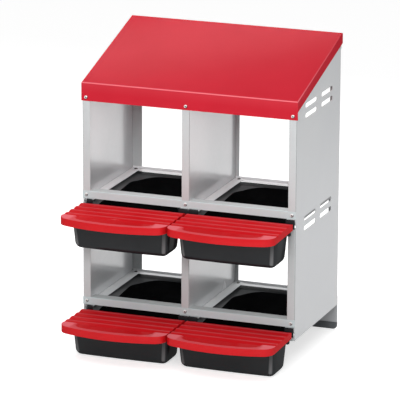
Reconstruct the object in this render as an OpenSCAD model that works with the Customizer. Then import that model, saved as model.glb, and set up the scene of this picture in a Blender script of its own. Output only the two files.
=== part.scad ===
// Roll out nest box: four nests in a folded sheet body under a sloping roof.
// Each nest has one moulded pan, made of a nest bowl, a chute and an egg tray, with a hinged lid.
// Millimetres, Z up, front towards -Y, ground at Z = 0, origin in the middle of the footprint.

/* [Body] */
// Width over the two side panels
body_w = 620; // [600:1:680]
// Depth over the side panels' front and rear flanges
body_d = 370; // [355:1:420]
// Thickness of the steel sheet
sheet = 1.2; // [0.8:0.1:1.5]
// Height of the side panels' lower edge above the ground
panel_base = 73; // [63:1:80]
// Width of the front flange on each side panel
post_flange = 22; // [16:1:24]
// Width of the rear flange on each side panel
rear_flange = 30; // [20:1:40]
// Height of the notch in the front flanges that lets a pan through
throat_h = 45; // [40:1:60]
// Right face of the centre divider, from the middle plane
divider_face = 3; // [2:0.5:6]
// Width of the divider's front flange
divider_flange = 22; // [16:1:24]
// Width of the divider's rear flange
divider_rear_flange = 11; // [8:1:14]

/* [Levels] */
// Distance between the two nest levels
level_pitch = 305; // [300:1:340]
// Height of each front rail
rail_h = 21; // [18:1:28]
// Depth of the rail's folded top
rail_return = 30; // [20:1:40]

/* [Roof] */
// Height of the fold between roof and fascia
roof_front_h = 744; // [738:1:800]
// Height of the roof's rear edge
roof_rear_h = 855; // [838:1:900]
// Height of the front fascia
fascia_h = 52; // [40:1:60]
// Height of the roof's side lips
roof_lip = 30; // [20:1:36]
// Height of the roof's rear lip
roof_rear_lip = 14; // [10:1:18]
// Gap between the rear header's returns and the roof's side lips
roof_side_gap = 0.3; // [0.3:0.1:1.5]
// Gap between the rear header and the roof's rear lip
roof_rear_gap = 2.6; // [2.5:0.1:4]
// Height of the rear header
header_h = 40; // [34:1:50]
// Drop from the roof's rear edge to the top of the header
header_drop = 4; // [3:1:8]
// Length of the header's side returns
header_return = 12; // [8:1:20]

/* [Rear foot] */
// Overlap of the foot plate on the rear flanges
foot_lap = 26; // [20:1:40]
// Height of the black edge trim on the foot
trim_h = 20; // [14:1:26]
// Wall of the edge trim
trim_wall = 2; // [1.5:0.1:3]
// Radius of the foot's lower corners
foot_corner_r = 10; // [6:1:14]

/* [Vents] */
// Length of a vent slot
slot_l = 95; // [80:1:100]
// Height of a vent slot
slot_h = 13; // [10:1:16]
// Gap between the two columns of slots
slot_gap = 40; // [30:1:50]
// Distance between the two rows of slots
slot_row_pitch = 28; // [24:1:32]
// Drop from the upper rail's lower edge to the upper row of the lower slots
slot_rail_drop = 16; // [12:1:40]
// Drop from the roof's front fold to the upper row of the upper slots
slot_roof_drop = 28; // [26:1:45]

/* [Floor frames] */
// Width of a runner's upper flange
runner_w = 28; // [24:1:32]
// Drop from the rail's lower edge to the top of the runners
runner_drop = 4; // [3:0.5:6]
// Depth of the rear ledge
ledge_d = 25; // [20:1:30]
// Height of the rear ledge's upstand
ledge_upstand = 6; // [5:0.5:8]

/* [Nest pan] */
// Wall of the moulded pan
pan_wall = 3; // [2:0.1:3.5]
// Drop from the rail's lower edge to the top of the pan's rim
rim_drop = 14; // [13:0.5:18]
// Play between the rim and the runner's web on each side
rim_play = 2; // [1:0.1:3]
// Clearance between the chute and the front flanges on each side
chute_play = 2.5; // [1.5:0.1:4]
// Height of the egg tray from its floor to the rim
tray_h = 98; // [90:1:104]
// Length of the egg tray along the top, front to back
tray_l = 109; // [95:1:115]
// Distance of the egg tray's rear wall in front of the body
tray_setback = 18; // [17:0.5:20]
// Step between the chute's side and the tray's side
tray_step = 14; // [8:0.5:14]
// Inward lean of each tray wall over its height
tray_draft = 8; // [4:0.5:12]
// Forward bow of the tray's front wall
tray_bow = 4; // [1:0.5:8]
// Plan radius of the tray's corners
tray_corner_r = 18; // [12:1:24]
// Radius between the tray's walls and its floor
tray_floor_r = 16; // [10:1:20]
// Width of the rim beyond the bowl on each side
rim_w = 9; // [7:0.5:12]
// Plan radius of the rim's rear corners
rim_corner_r = 20; // [14:1:26]
// Depth of the bowl's floor below the rim at its front end
bowl_front_drop = 50; // [42:1:56]
// Depth of the bowl's floor below the rim at its rear end
bowl_rear_drop = 21; // [16:1:26]
// Slope of the bowl's side walls in plan, from rim to floor
bowl_flare = 40; // [30:1:50]
// Slope of the bowl's rear wall in plan, from rim to floor
bowl_rear_flare = 85; // [60:1:100]
// Distance of the bowl floor's front end behind the body's front
bowl_floor_start = 30; // [24:1:40]
// Depth of the chute's outer floor below the rim where it meets the tray
chute_drop = 67; // [62:1:72]
// Depth of the chute's side walls below the rim at their rear end
chute_side_drop = 28; // [22:1:32]
// Distance of the chute's rear end behind the body's front
chute_l = 45; // [40:1:60]
// Drop of the chute's wall top below the rim at the tray
chute_wall_drop = 22; // [20:1:26]

/* [Lid] */
// Wall of the moulded lid
lid_wall = 2.4; // [1.8:0.1:2.4]
// Distance of the lid's rear edge in front of the body
lid_setback = 13; // [12:0.5:14]
// Length of the lid at its front corners
lid_l = 172; // [165:1:185]
// Forward bow of the lid's front edge
lid_bow = 28; // [20:1:34]
// Gap between neighbouring lids at the front
lid_gap = 5.4; // [4:0.2:8]
// Inward taper of each side towards the rear
lid_taper = 4; // [2:0.5:4.5]
// Drop from the rail's lower edge to the lid's highest line
lid_drop = 8; // [7:0.5:8]
// Height of the lid's skirt
lid_skirt = 20; // [18:1:24]
// Plan radius of the lid's front corners
lid_corner_r = 24; // [16:1:30]
// Number of cross ridges
ridge_count = 4; // [3:1:5]
// Pitch of the cross ridges
ridge_pitch = 34; // [30:1:35]
// Height of the cross ridges
ridge_h = 3; // [2:0.2:3]
// Half width of the crescent recess behind the front rim
crescent_half_w = 110; // [90:1:120]
// Depth of the crescent recess from its chord to its arc
crescent_depth = 35; // [25:1:40]

/* [Lid hinge] */
// Diameter of a hinge pin
pin_d = 5; // [4:0.5:6]
// Running clearance round a hinge pin
pin_play = 0.05; // [0.02:0.01:0.1]
// Distance of the hinge axis in front of the body
hinge_setback = 19; // [18:0.5:20]
// Drop from the pan's rim to the hinge axis
hinge_drop = 6; // [6:0.5:7]
// Radius of the hinge lugs' round tops
lug_r = 6; // [5:0.5:6]
// Gap between a hinge lug and the lid's skirt
lug_play = 0.6; // [0.4:0.1:1]

/* [Fasteners] */
// Diameter of a screw's shank
screw_d = 4; // [3:0.5:5]
// Diameter of a screw's head
screw_head_d = 9; // [7:0.5:10]
// Height of a screw's head
screw_head_h = 2.2; // [1.6:0.1:2.4]
// Length of a screw below its head
screw_l = 7; // [5:0.5:8]
// Clearance round a screw's shank
hole_play = 0.2; // [0.1:0.05:0.4]
// Distance of the fascia screws above the fascia's lower edge
fascia_screw_rise = 10; // [8:0.5:14]

/* [Hidden] */

// Overrun of every cut past the face that it breaks, thickness of a loft's section, and facets
overrun = 2;
film = 0.02;
round_fn = 48;
loft_fn = 32;

// Colours
steel_grey = [0.77, 0.78, 0.80];
shade_grey = [0.55, 0.56, 0.57];
roof_red = [0.82, 0.17, 0.23];
lid_red = [0.75, 0.10, 0.14];
pan_black = [0.10, 0.10, 0.11];
screw_silver = [0.85, 0.85, 0.86];

// Levels and bays are numbered 0 and 1: lower and upper, left and right
lower = 0;
upper = 1;
left = 0;
right = 1;
half_w = body_w / 2;
panel_in = half_w - sheet;
divider_back = divider_face - sheet;
bay_edges = [[-panel_in, divider_back], [divider_face, panel_in]];
bay_xs = [for (e = bay_edges) (e[0] + e[1]) / 2];
flange_edges = [[post_flange - half_w, divider_face - divider_flange],
                [divider_face, half_w - post_flange]];
rail_base = tray_h + rim_drop;
rail_zs = [rail_base, rail_base + level_pitch];
slot_zs = [rail_zs[upper] - slot_rail_drop, roof_front_h - slot_roof_drop];

// Footprint: the lids' front edge to the roof's rear lip
front_reach = lid_setback + lid_l + lid_bow;
roof_rear_y = body_d + sheet + roof_rear_gap + sheet;
frame_y = (front_reach - roof_rear_y) / 2;

// Roof slope
roof_rise_share = (roof_rear_h - roof_front_h) / (roof_rear_y + sheet);
roof_drop = sheet * sqrt(1 + roof_rise_share * roof_rise_share);
roof_w = body_w + 2 * (2 * sheet + roof_side_gap);
function roof_top(y) = roof_front_h + (y + sheet) * roof_rise_share;
function roof_under(y) = roof_top(y) - roof_drop;
header_top = roof_rear_h - header_drop - roof_drop;
header_base = header_top - header_h;

// Screw places: the two posts and the divider's flange
post_screw_x = half_w - post_flange / 2;
divider_screw_x = divider_face - divider_flange / 2;
front_screw_xs = [-post_screw_x, divider_screw_x, post_screw_x];
rear_screw_xs = [rear_flange / 2 - half_w, divider_face + divider_rear_flange / 2,
                 half_w - rear_flange / 2];
fascia_base = roof_front_h - fascia_h;
fascia_screw_z = fascia_base + fascia_screw_rise;
foot_top = panel_base + foot_lap;
foot_screw_z = panel_base + foot_lap / 2;
header_screw_z = header_base + (header_h - roof_rear_lip) / 2;

// Floor frames
runner_h = rim_drop - runner_drop + pan_wall + sheet;
runner_foot_w = sheet + rim_play + rim_w - hole_play;
runner_end = body_d - 2 * sheet - hole_play;
ledge_front = body_d - sheet - ledge_d;
floor_screw_y = ledge_front + ledge_d / 2;

// Pans and lids, about the middle of their bay
rim_half_w = (panel_in - divider_face) / 2 - sheet - rim_play;
chute_half_w = flange_edges[right][1] - bay_xs[right] - chute_play;
tray_half_w = chute_half_w + tray_step;
bowl_half_w = rim_half_w - rim_w;
rim_front = 2 * sheet;
rim_rear = body_d - 2 * sheet - rim_corner_r;
bowl_rear = rim_rear - rim_w;
tray_front = tray_setback + tray_l;
lid_half_w = (bay_xs[right] - bay_xs[left] - lid_gap) / 2;
lid_rear_half_w = lid_half_w - lid_taper;
lid_front_y = -lid_setback - lid_l;
lid_flat_y = -lid_setback - ridge_count * ridge_pitch;
lug_out = lid_rear_half_w - lid_wall - lug_play;
lug_drop = chute_wall_drop + lug_r;
pin_l = lid_rear_half_w - chute_half_w;

function radius_of_bow(half_chord, rise) = (half_chord * half_chord + rise * rise) / (2 * rise);

// Moves a piece from the body's front plane into the footprint's frame
module in_frame() {
    translate([0, frame_y, 0]) children();
}

// Moves a pan's or lid's shape, drawn about its rim's front middle, to its bay and level
module in_bay(bay, level) {
    in_frame() translate([bay_xs[bay], 0, rail_zs[level] - rim_drop]) children();
}

// A YZ outline given thickness along +X from x
module yz_plate(x, thickness, points) {
    translate([x, 0, 0]) rotate([90, 0, 90]) linear_extrude(thickness) polygon(points);
}

// A block between two corners
module block(low, high) {
    translate(low) cube(high - low);
}

// A pan head screw along -Z, with its seat at the origin
module screw() {
    neck_share = 0.45;
    crown_share = 0.6;
    cylinder(h = screw_head_h * neck_share, d = screw_head_d, $fn = round_fn);
    translate([0, 0, screw_head_h * neck_share])
        cylinder(h = screw_head_h * (1 - neck_share), d1 = screw_head_d, d2 = screw_head_d * crown_share,
                 $fn = round_fn);
    translate([0, 0, -screw_l]) cylinder(h = screw_l, d = screw_d, $fn = round_fn);
}

// The shank's hole along Z, through everything within a screw's length
module screw_hole() {
    cylinder(h = 2 * (screw_l + overrun), d = screw_d + 2 * hole_play, center = true, $fn = round_fn);
}

// Turns a screw or its hole to be driven from the front or from the rear
module from_front(x, y, z) {
    translate([x, y, z]) rotate([90, 0, 0]) children();
}
module from_rear(x, y, z) {
    translate([x, y, z]) rotate([-90, 0, 0]) children();
}

// Stretches of front flange between the throats: [base, top]
flange_runs = [
    [rail_zs[lower], rail_zs[upper] - throat_h],
    [rail_zs[upper], roof_rear_h]
];

module front_flange(low_x, high_x) {
    for (run = flange_runs)
        block([low_x, 0, run[0]], [high_x, sheet, run[1]]);
}

module rear_flange(low_x, high_x) {
    block([low_x, body_d - sheet, panel_base], [high_x, body_d, roof_rear_h]);
}

// Everything above the underside of the roof
module above_roof() {
    rear = body_d + overrun;
    yz_plate(-half_w - overrun, body_w + 2 * overrun, [
        [-overrun, roof_under(-overrun)], [rear, roof_under(rear)],
        [rear, roof_rear_h + overrun], [-overrun, roof_rear_h + overrun]
    ]);
}

module front_flange_holes(x) {
    for (z = [for (r = rail_zs) r + rail_h / 2])
        from_front(x, 0, z) screw_hole();
    from_front(x, 0, fascia_screw_z) screw_hole();
}

module rear_flange_holes(x) {
    for (z = [foot_screw_z, header_screw_z])
        from_rear(x, body_d, z) screw_hole();
}

// The upright web of a side panel or the divider, before its top is cut to the roof
module web(x) {
    block([x, 0, panel_base], [x + sheet, body_d, roof_rear_h]);
}

// One vent slot with round ends, through a side panel
module vent_slot() {
    straight = slot_l - slot_h;
    depth = 2 * (sheet + overrun);
    cube([depth, straight, slot_h], center = true);
    for (end = [-1, 1])
        translate([0, end * straight / 2, 0]) rotate([0, 90, 0])
            cylinder(h = depth, d = slot_h, center = true, $fn = round_fn);
}

module vent_slots() {
    for (level = [lower, upper], row = [0, 1], column = [-1, 1])
        translate([half_w, body_d / 2 + column * (slot_l + slot_gap) / 2,
                   slot_zs[level] - row * slot_row_pitch])
            vent_slot();
}

// Side panel on +X: web, front flange with throats, rear flange and vents
module side_panel() {
    difference() {
        union() {
            web(panel_in);
            front_flange(half_w - post_flange, half_w);
            rear_flange(half_w - rear_flange, half_w);
        }
        above_roof();
        vent_slots();
        front_flange_holes(post_screw_x);
        rear_flange_holes(rear_screw_xs[2]);
    }
}

module right_side_panel() {
    color(steel_grey) in_frame() side_panel();
}

module left_side_panel() {
    color(steel_grey) in_frame() mirror([1, 0, 0]) side_panel();
}

module centre_divider() {
    color(steel_grey) in_frame() difference() {
        union() {
            web(divider_back);
            front_flange(divider_face - divider_flange, divider_face);
            rear_flange(divider_back, divider_face + divider_rear_flange);
        }
        above_roof();
        front_flange_holes(divider_screw_x);
        rear_flange_holes(rear_screw_xs[1]);
    }
}

// One folded sheet: fascia, slope, rear lip and two side lips
module roof() {
    color(roof_red) in_frame() difference() {
        union() {
            yz_plate(-roof_w / 2, roof_w, [
                [-sheet, fascia_base], [-sheet, roof_front_h], [roof_rear_y, roof_rear_h],
                [roof_rear_y, roof_rear_h - roof_rear_lip],
                [roof_rear_y - sheet, roof_rear_h - roof_rear_lip],
                [roof_rear_y - sheet, roof_under(roof_rear_y - sheet)],
                [0, roof_under(0)], [0, fascia_base]
            ]);
            for (x = [-roof_w / 2, roof_w / 2 - sheet])
                yz_plate(x, sheet, [
                    [-sheet, roof_front_h - roof_lip], [roof_rear_y, roof_rear_h - roof_lip],
                    [roof_rear_y, roof_rear_h], [-sheet, roof_front_h]
                ]);
        }
        for (x = front_screw_xs)
            from_front(x, 0, fascia_screw_z) screw_hole();
    }
}

// Rear tie under the roof, with short returns round the side panels
module rear_header() {
    color(steel_grey) in_frame() difference() {
        union() {
            block([-half_w - sheet, body_d, header_base], [half_w + sheet, body_d + sheet, header_top]);
            for (x = [-half_w - sheet, half_w])
                block([x, body_d - header_return, header_base],
                      [x + sheet, body_d + sheet, roof_under(body_d - header_return)]);
        }
        for (x = rear_screw_xs)
            from_rear(x, body_d, header_screw_z) screw_hole();
    }
}

// Full width plate that holds the rear up level with the trays
module rear_foot() {
    color(shade_grey) in_frame() difference() {
        union() {
            block([-half_w, body_d, trim_wall + foot_corner_r], [half_w, body_d + sheet, foot_top]);
            block([-half_w + foot_corner_r, body_d, trim_wall], [half_w - foot_corner_r, body_d + sheet, foot_top]);
            for (side = [-1, 1])
                translate([side * (half_w - foot_corner_r), body_d, trim_wall + foot_corner_r])
                    rotate([-90, 0, 0]) cylinder(h = sheet, r = foot_corner_r, $fn = round_fn);
        }
        for (x = rear_screw_xs)
            from_rear(x, body_d, foot_screw_z) screw_hole();
    }
}

// Black channel pushed over the foot's lower edge
module foot_trim() {
    outer_r = foot_corner_r + trim_wall;
    color(pan_black) in_frame() difference() {
        translate([0, body_d - trim_wall, 0]) union() {
            block([-half_w, 0, outer_r], [half_w, sheet + 2 * trim_wall, trim_h]);
            block([-half_w + foot_corner_r, 0, 0], [half_w - foot_corner_r, sheet + 2 * trim_wall, trim_h]);
            for (side = [-1, 1])
                intersection() {
                    translate([side * (half_w - foot_corner_r), 0, outer_r]) rotate([-90, 0, 0])
                        cylinder(h = sheet + 2 * trim_wall, r = outer_r, $fn = round_fn);
                    block([-half_w, 0, 0], [half_w, sheet + 2 * trim_wall, trim_h]);
                }
        }
        block([-half_w - overrun, body_d, trim_wall + foot_corner_r],
              [half_w + overrun, body_d + sheet, trim_h + overrun]);
        block([-half_w + foot_corner_r, body_d, trim_wall],
              [half_w - foot_corner_r, body_d + sheet, trim_h + overrun]);
        for (side = [-1, 1])
            translate([side * (half_w - foot_corner_r), body_d, trim_wall + foot_corner_r])
                rotate([-90, 0, 0]) cylinder(h = sheet, r = foot_corner_r, $fn = round_fn);
    }
}

// Front rail with a folded top between the flanges
module front_rail(level) {
    z = rail_zs[level];
    color(steel_grey) in_frame() difference() {
        union() {
            block([-half_w, -sheet, z], [half_w, 0, z + rail_h]);
            for (edges = flange_edges)
                block([edges[0] + hole_play, -sheet, z + rail_h - sheet],
                      [edges[1] - hole_play, rail_return, z + rail_h]);
        }
        for (x = front_screw_xs)
            from_front(x, 0, z + rail_h / 2) screw_hole();
    }
}

module lower_front_rail() { front_rail(lower); }
module upper_front_rail() { front_rail(upper); }

// Floor screw of a runner, from the wall that carries it
function floor_screw_x(wall, inward) = wall + inward * (sheet + (runner_w - sheet) / 2);

// C section on a wall at x: the upper flange is the floor's edge, the lower one carries the pan's rim
module runner(wall, inward, level) {
    top = rail_zs[level] - runner_drop;
    section = [
        [0, 0], [runner_w, 0], [runner_w, -sheet], [sheet, -sheet],
        [sheet, sheet - runner_h], [runner_foot_w, sheet - runner_h],
        [runner_foot_w, -runner_h], [0, -runner_h]
    ];
    color(steel_grey) in_frame() difference() {
        translate([wall, runner_end, top]) rotate([90, 0, 0]) linear_extrude(runner_end - sheet)
            polygon([for (p = section) [inward * p[0], p[1]]]);
        translate([floor_screw_x(wall, inward), floor_screw_y, top]) sheet_hole();
    }
}

// A screw's hole along Z through one sheet
module sheet_hole() {
    cylinder(h = 2 * (sheet + overrun), d = screw_d + 2 * hole_play, center = true, $fn = round_fn);
}

module lower_left_outer_runner() { runner(bay_edges[left][0], 1, lower); }
module lower_left_inner_runner() { runner(bay_edges[left][1], -1, lower); }
module lower_right_inner_runner() { runner(bay_edges[right][0], 1, lower); }
module lower_right_outer_runner() { runner(bay_edges[right][1], -1, lower); }
module upper_left_outer_runner() { runner(bay_edges[left][0], 1, upper); }
module upper_left_inner_runner() { runner(bay_edges[left][1], -1, upper); }
module upper_right_inner_runner() { runner(bay_edges[right][0], 1, upper); }
module upper_right_outer_runner() { runner(bay_edges[right][1], -1, upper); }

// Angle across the rear of a nest floor, under the runners' upper flanges
module rear_ledge(bay, level) {
    low = bay_edges[bay][0] + sheet + hole_play;
    high = bay_edges[bay][1] - sheet - hole_play;
    top = rail_zs[level] - runner_drop - sheet;
    color(steel_grey) in_frame() difference() {
        union() {
            block([low, ledge_front, top - sheet], [high, body_d - sheet, top]);
            block([low, body_d - 2 * sheet, top - sheet], [high, body_d - sheet, top + ledge_upstand]);
        }
        for (x = floor_screw_xs(bay))
            translate([x, floor_screw_y, top]) sheet_hole();
    }
}

function floor_screw_xs(bay) =
    [floor_screw_x(bay_edges[bay][0], 1), floor_screw_x(bay_edges[bay][1], -1)];

module lower_left_rear_ledge() { rear_ledge(left, lower); }
module lower_right_rear_ledge() { rear_ledge(right, lower); }
module upper_left_rear_ledge() { rear_ledge(left, upper); }
module upper_right_rear_ledge() { rear_ledge(right, upper); }

// One level section of the tray, drawn in by inset on every side
module tray_ring(z, inset, corner_r) {
    front_shares = [-1, -0.75, -0.5, -0.25, 0, 0.25, 0.5, 0.75, 1];
    reach = tray_half_w - inset - corner_r;
    for (s = front_shares)
        translate([s * reach, -tray_front + tray_bow * s * s + inset + corner_r, z])
            cylinder(h = film, r = corner_r, $fn = loft_fn);
    for (side = [-1, 1])
        translate([side * reach, -tray_setback - inset - corner_r, z])
            cylinder(h = film, r = corner_r, $fn = loft_fn);
}

// Egg tray as a loft of sections, inside the outer skin by skin, with its top at top
module tray_form(skin, top) {
    side_h = tray_h - tray_floor_r;
    lean_share = tray_draft / tray_h;
    corner_r = tray_corner_r - skin;
    floor_r = tray_floor_r - skin;
    hull() {
        tray_ring(top - film, skin, corner_r);
        for (a = [0 : 22.5 : 90])
            tray_ring(-side_h - floor_r * sin(a), lean_share * side_h + skin + floor_r * (1 - cos(a)), corner_r);
    }
}

// Chute between bowl and tray: a deep front section lofted to a dished rear section
module chute_form(skin, front_top, rear_top) {
    front_y = -tray_setback - tray_draft - 2 * pan_wall;
    side = chute_half_w - skin;
    floor_side = bowl_half_w - bowl_flare - skin;
    hull() {
        translate([0, front_y, 0]) rotate([90, 0, 0]) linear_extrude(film) polygon([
            [-side, front_top], [side, front_top], [side, skin - chute_drop], [-side, skin - chute_drop]
        ]);
        translate([0, chute_l, 0]) rotate([90, 0, 0]) linear_extrude(film) polygon([
            [-side, rear_top], [side, rear_top], [side, skin - chute_side_drop],
            [floor_side, skin - bowl_front_drop], [-floor_side, skin - bowl_front_drop],
            [-side, skin - chute_side_drop]
        ]);
    }
}

// Nest bowl: the rim's straight sides drawn in to a horseshoe floor that falls to the front
module bowl_form(skin, top) {
    floor_half_w = bowl_half_w - bowl_flare - skin;
    floor_l = bowl_rear - bowl_rear_flare - bowl_floor_start;
    fall = atan((bowl_front_drop - bowl_rear_drop) / floor_l);
    corner_r = rim_corner_r - skin;
    hull() {
        for (side = [-1, 1]) {
            translate([side * (bowl_half_w - skin - corner_r), bowl_rear - skin - corner_r, top - film])
                cylinder(h = film, r = corner_r, $fn = loft_fn);
            translate([side * (bowl_half_w - skin - pan_wall), rim_front + skin + pan_wall, top - film])
                cylinder(h = film, r = pan_wall, $fn = loft_fn);
        }
        translate([0, bowl_floor_start + skin, skin - bowl_front_drop]) rotate([fall, 0, 0]) {
            translate([0, floor_l - skin - floor_half_w, 0]) cylinder(h = film, r = floor_half_w, $fn = loft_fn);
            translate([-floor_half_w, 0, 0]) cube([2 * floor_half_w, film, film]);
        }
    }
}

// Flat rim that rides in the runners
module rim_plate() {
    block([-rim_half_w, rim_front, -pan_wall], [rim_half_w, rim_rear, 0]);
    block([rim_corner_r - rim_half_w, rim_front, -pan_wall], [rim_half_w - rim_corner_r, rim_rear + rim_corner_r, 0]);
    for (side = [-1, 1])
        translate([side * (rim_half_w - rim_corner_r), rim_rear, -pan_wall])
            cylinder(h = pan_wall, r = rim_corner_r, $fn = round_fn);
}

// Upright lug beside the chute that holds a hinge pin
module hinge_lugs() {
    for (side = [-1, 1]) {
        low = side > 0 ? chute_half_w - pan_wall : -lug_out;
        high = side > 0 ? lug_out : pan_wall - chute_half_w;
        block([low, -hinge_setback - lug_r, -lug_drop], [high, -hinge_setback + lug_r, -hinge_drop]);
        translate([low, -hinge_setback, -hinge_drop]) rotate([0, 90, 0])
            cylinder(h = high - low, r = lug_r, $fn = round_fn);
    }
}

// One moulding: nest bowl, chute and egg tray
module nest_pan() {
    difference() {
        union() {
            tray_form(0, 0);
            chute_form(0, -chute_wall_drop, 0);
            bowl_form(0, 0);
            rim_plate();
            hinge_lugs();
        }
        tray_form(pan_wall, overrun);
        chute_form(pan_wall, overrun, overrun);
        bowl_form(pan_wall, overrun);
        translate([0, -hinge_setback, -hinge_drop]) rotate([0, 90, 0])
            cylinder(h = 2 * (lug_out + overrun), d = pin_d + 2 * pin_play, center = true, $fn = round_fn);
    }
}

module lower_left_nest_pan() { color(pan_black) in_bay(left, lower) nest_pan(); }
module lower_right_nest_pan() { color(pan_black) in_bay(right, lower) nest_pan(); }
module upper_left_nest_pan() { color(pan_black) in_bay(left, upper) nest_pan(); }
module upper_right_nest_pan() { color(pan_black) in_bay(right, upper) nest_pan(); }

// Plan of the lid: sides flare to the front, front edge bows, front corners round
module lid_plan() {
    bow_r = radius_of_bow(lid_half_w, lid_bow);
    offset(r = lid_corner_r, $fn = round_fn) offset(delta = -lid_corner_r) intersection() {
        polygon([
            [-lid_rear_half_w, lid_corner_r - lid_setback], [lid_rear_half_w, lid_corner_r - lid_setback],
            [lid_rear_half_w, -lid_setback], [lid_half_w, lid_front_y], [lid_half_w, lid_front_y - lid_bow],
            [-lid_half_w, lid_front_y - lid_bow], [-lid_half_w, lid_front_y], [-lid_rear_half_w, -lid_setback]
        ]);
        translate([0, lid_front_y - lid_bow + bow_r]) circle(r = bow_r, $fn = 4 * round_fn);
    }
}

// The lid's plan as a prism that ends at the lid's rear edge
module lid_prism(low, high, inset) {
    intersection() {
        translate([0, 0, low]) linear_extrude(high - low) offset(delta = -inset) lid_plan();
        block([-lid_half_w, lid_front_y - lid_bow, low], [lid_half_w, -lid_setback, high]);
    }
}

// Crescent recess behind the front rim, widened by grow
module crescent(low, high, grow) {
    arc_r = radius_of_bow(crescent_half_w, crescent_depth);
    intersection() {
        translate([0, lid_flat_y - crescent_depth + arc_r, low])
            cylinder(h = high - low, r = arc_r + grow, $fn = 3 * round_fn);
        block([-lid_half_w, lid_front_y - lid_bow, low], [lid_half_w, lid_flat_y + overrun, high]);
    }
}

// Ridged sheet across the lid, with sharp grooves between round ridges
module ridged_sheet(top) {
    steps = 8;
    count = ridge_count * steps;
    groove = top - ridge_h;
    crest = [for (i = [0 : count])
        [-lid_setback - i * ridge_pitch / steps, groove + ridge_h * abs(sin(180 * i / steps))]];
    under = [for (i = [count : -1 : 0]) [crest[i][0], crest[i][1] - lid_wall]];
    yz_plate(-lid_half_w, 2 * lid_half_w, concat(crest, under));
}

// Lid drawn about the pan's rim: ridged sheet, raised front rim with a crescent, and a skirt
module lid() {
    top = rim_drop - lid_drop;
    groove = top - ridge_h;
    base = top - lid_skirt;
    difference() {
        union() {
            intersection() {
                ridged_sheet(top);
                lid_prism(groove - lid_wall, top, 0);
            }
            difference() {
                lid_prism(groove - lid_wall, top, 0);
                block([-lid_half_w, lid_flat_y, groove - lid_wall - overrun], [lid_half_w, 0, top + overrun]);
                crescent(groove, top + overrun, 0);
                difference() {
                    lid_prism(groove - lid_wall - overrun, top - lid_wall, lid_wall);
                    crescent(groove - lid_wall - overrun, top, lid_wall);
                }
            }
            difference() {
                lid_prism(base, groove, 0);
                lid_prism(base - overrun, groove + overrun, lid_wall);
                block([lid_wall - lid_rear_half_w, -lid_setback - lid_wall - overrun, base - overrun],
                      [lid_rear_half_w - lid_wall, 0, groove + overrun]);
            }
        }
        translate([0, -hinge_setback, -hinge_drop]) rotate([0, 90, 0])
            cylinder(h = 2 * (lid_half_w + overrun), d = pin_d + 2 * pin_play, center = true, $fn = round_fn);
    }
}

module lower_left_lid() { color(lid_red) in_bay(left, lower) lid(); }
module lower_right_lid() { color(lid_red) in_bay(right, lower) lid(); }
module upper_left_lid() { color(lid_red) in_bay(left, upper) lid(); }
module upper_right_lid() { color(lid_red) in_bay(right, upper) lid(); }

// Two plain pins, from the chute's wall to the lid's skirt
module hinge_pins() {
    for (x = [chute_half_w, -chute_half_w - pin_l])
        translate([x, -hinge_setback, -hinge_drop]) rotate([0, 90, 0])
            cylinder(h = pin_l, d = pin_d, $fn = round_fn);
}

module lower_left_hinge_pins() { color(screw_silver) in_bay(left, lower) hinge_pins(); }
module lower_right_hinge_pins() { color(screw_silver) in_bay(right, lower) hinge_pins(); }
module upper_left_hinge_pins() { color(screw_silver) in_bay(left, upper) hinge_pins(); }
module upper_right_hinge_pins() { color(screw_silver) in_bay(right, upper) hinge_pins(); }

module fascia_screws() {
    color(screw_silver) in_frame()
        for (x = front_screw_xs) from_front(x, -sheet, fascia_screw_z) screw();
}

module rail_screws(level) {
    color(screw_silver) in_frame()
        for (x = front_screw_xs) from_front(x, -sheet, rail_zs[level] + rail_h / 2) screw();
}

module lower_rail_screws() { rail_screws(lower); }
module upper_rail_screws() { rail_screws(upper); }

module floor_screws(level) {
    color(screw_silver) in_frame()
        for (bay = [left, right], x = floor_screw_xs(bay))
            translate([x, floor_screw_y, rail_zs[level] - runner_drop]) screw();
}

module lower_floor_screws() { floor_screws(lower); }
module upper_floor_screws() { floor_screws(upper); }

module header_screws() {
    color(screw_silver) in_frame()
        for (x = rear_screw_xs) from_rear(x, body_d + sheet, header_screw_z) screw();
}

module foot_screws() {
    color(screw_silver) in_frame()
        for (x = rear_screw_xs) from_rear(x, body_d + sheet, foot_screw_z) screw();
}

left_side_panel();
right_side_panel();
centre_divider();
roof();
rear_header();
rear_foot();
foot_trim();
lower_front_rail();
upper_front_rail();
lower_left_outer_runner();
lower_left_inner_runner();
lower_right_inner_runner();
lower_right_outer_runner();
upper_left_outer_runner();
upper_left_inner_runner();
upper_right_inner_runner();
upper_right_outer_runner();
lower_left_rear_ledge();
lower_right_rear_ledge();
upper_left_rear_ledge();
upper_right_rear_ledge();
lower_left_nest_pan();
lower_right_nest_pan();
upper_left_nest_pan();
upper_right_nest_pan();
lower_left_lid();
lower_right_lid();
upper_left_lid();
upper_right_lid();
lower_left_hinge_pins();
lower_right_hinge_pins();
upper_left_hinge_pins();
upper_right_hinge_pins();
fascia_screws();
lower_rail_screws();
upper_rail_screws();
lower_floor_screws();
upper_floor_screws();
header_screws();
foot_screws();
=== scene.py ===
"""Looks of the roll out nest box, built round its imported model, in metres."""

import logging
import math
from dataclasses import dataclass, replace
from enum import Enum
from functools import cache
from typing import Any, Callable, Iterable, Optional, Sequence, Union

import bmesh
import bpy
from bmesh.types import BMEdge, BMesh, BMFace, BMVert
from bpy.types import Material, Node, NodeSocket, NodeTree, World
from mathutils import Matrix, Vector


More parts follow.
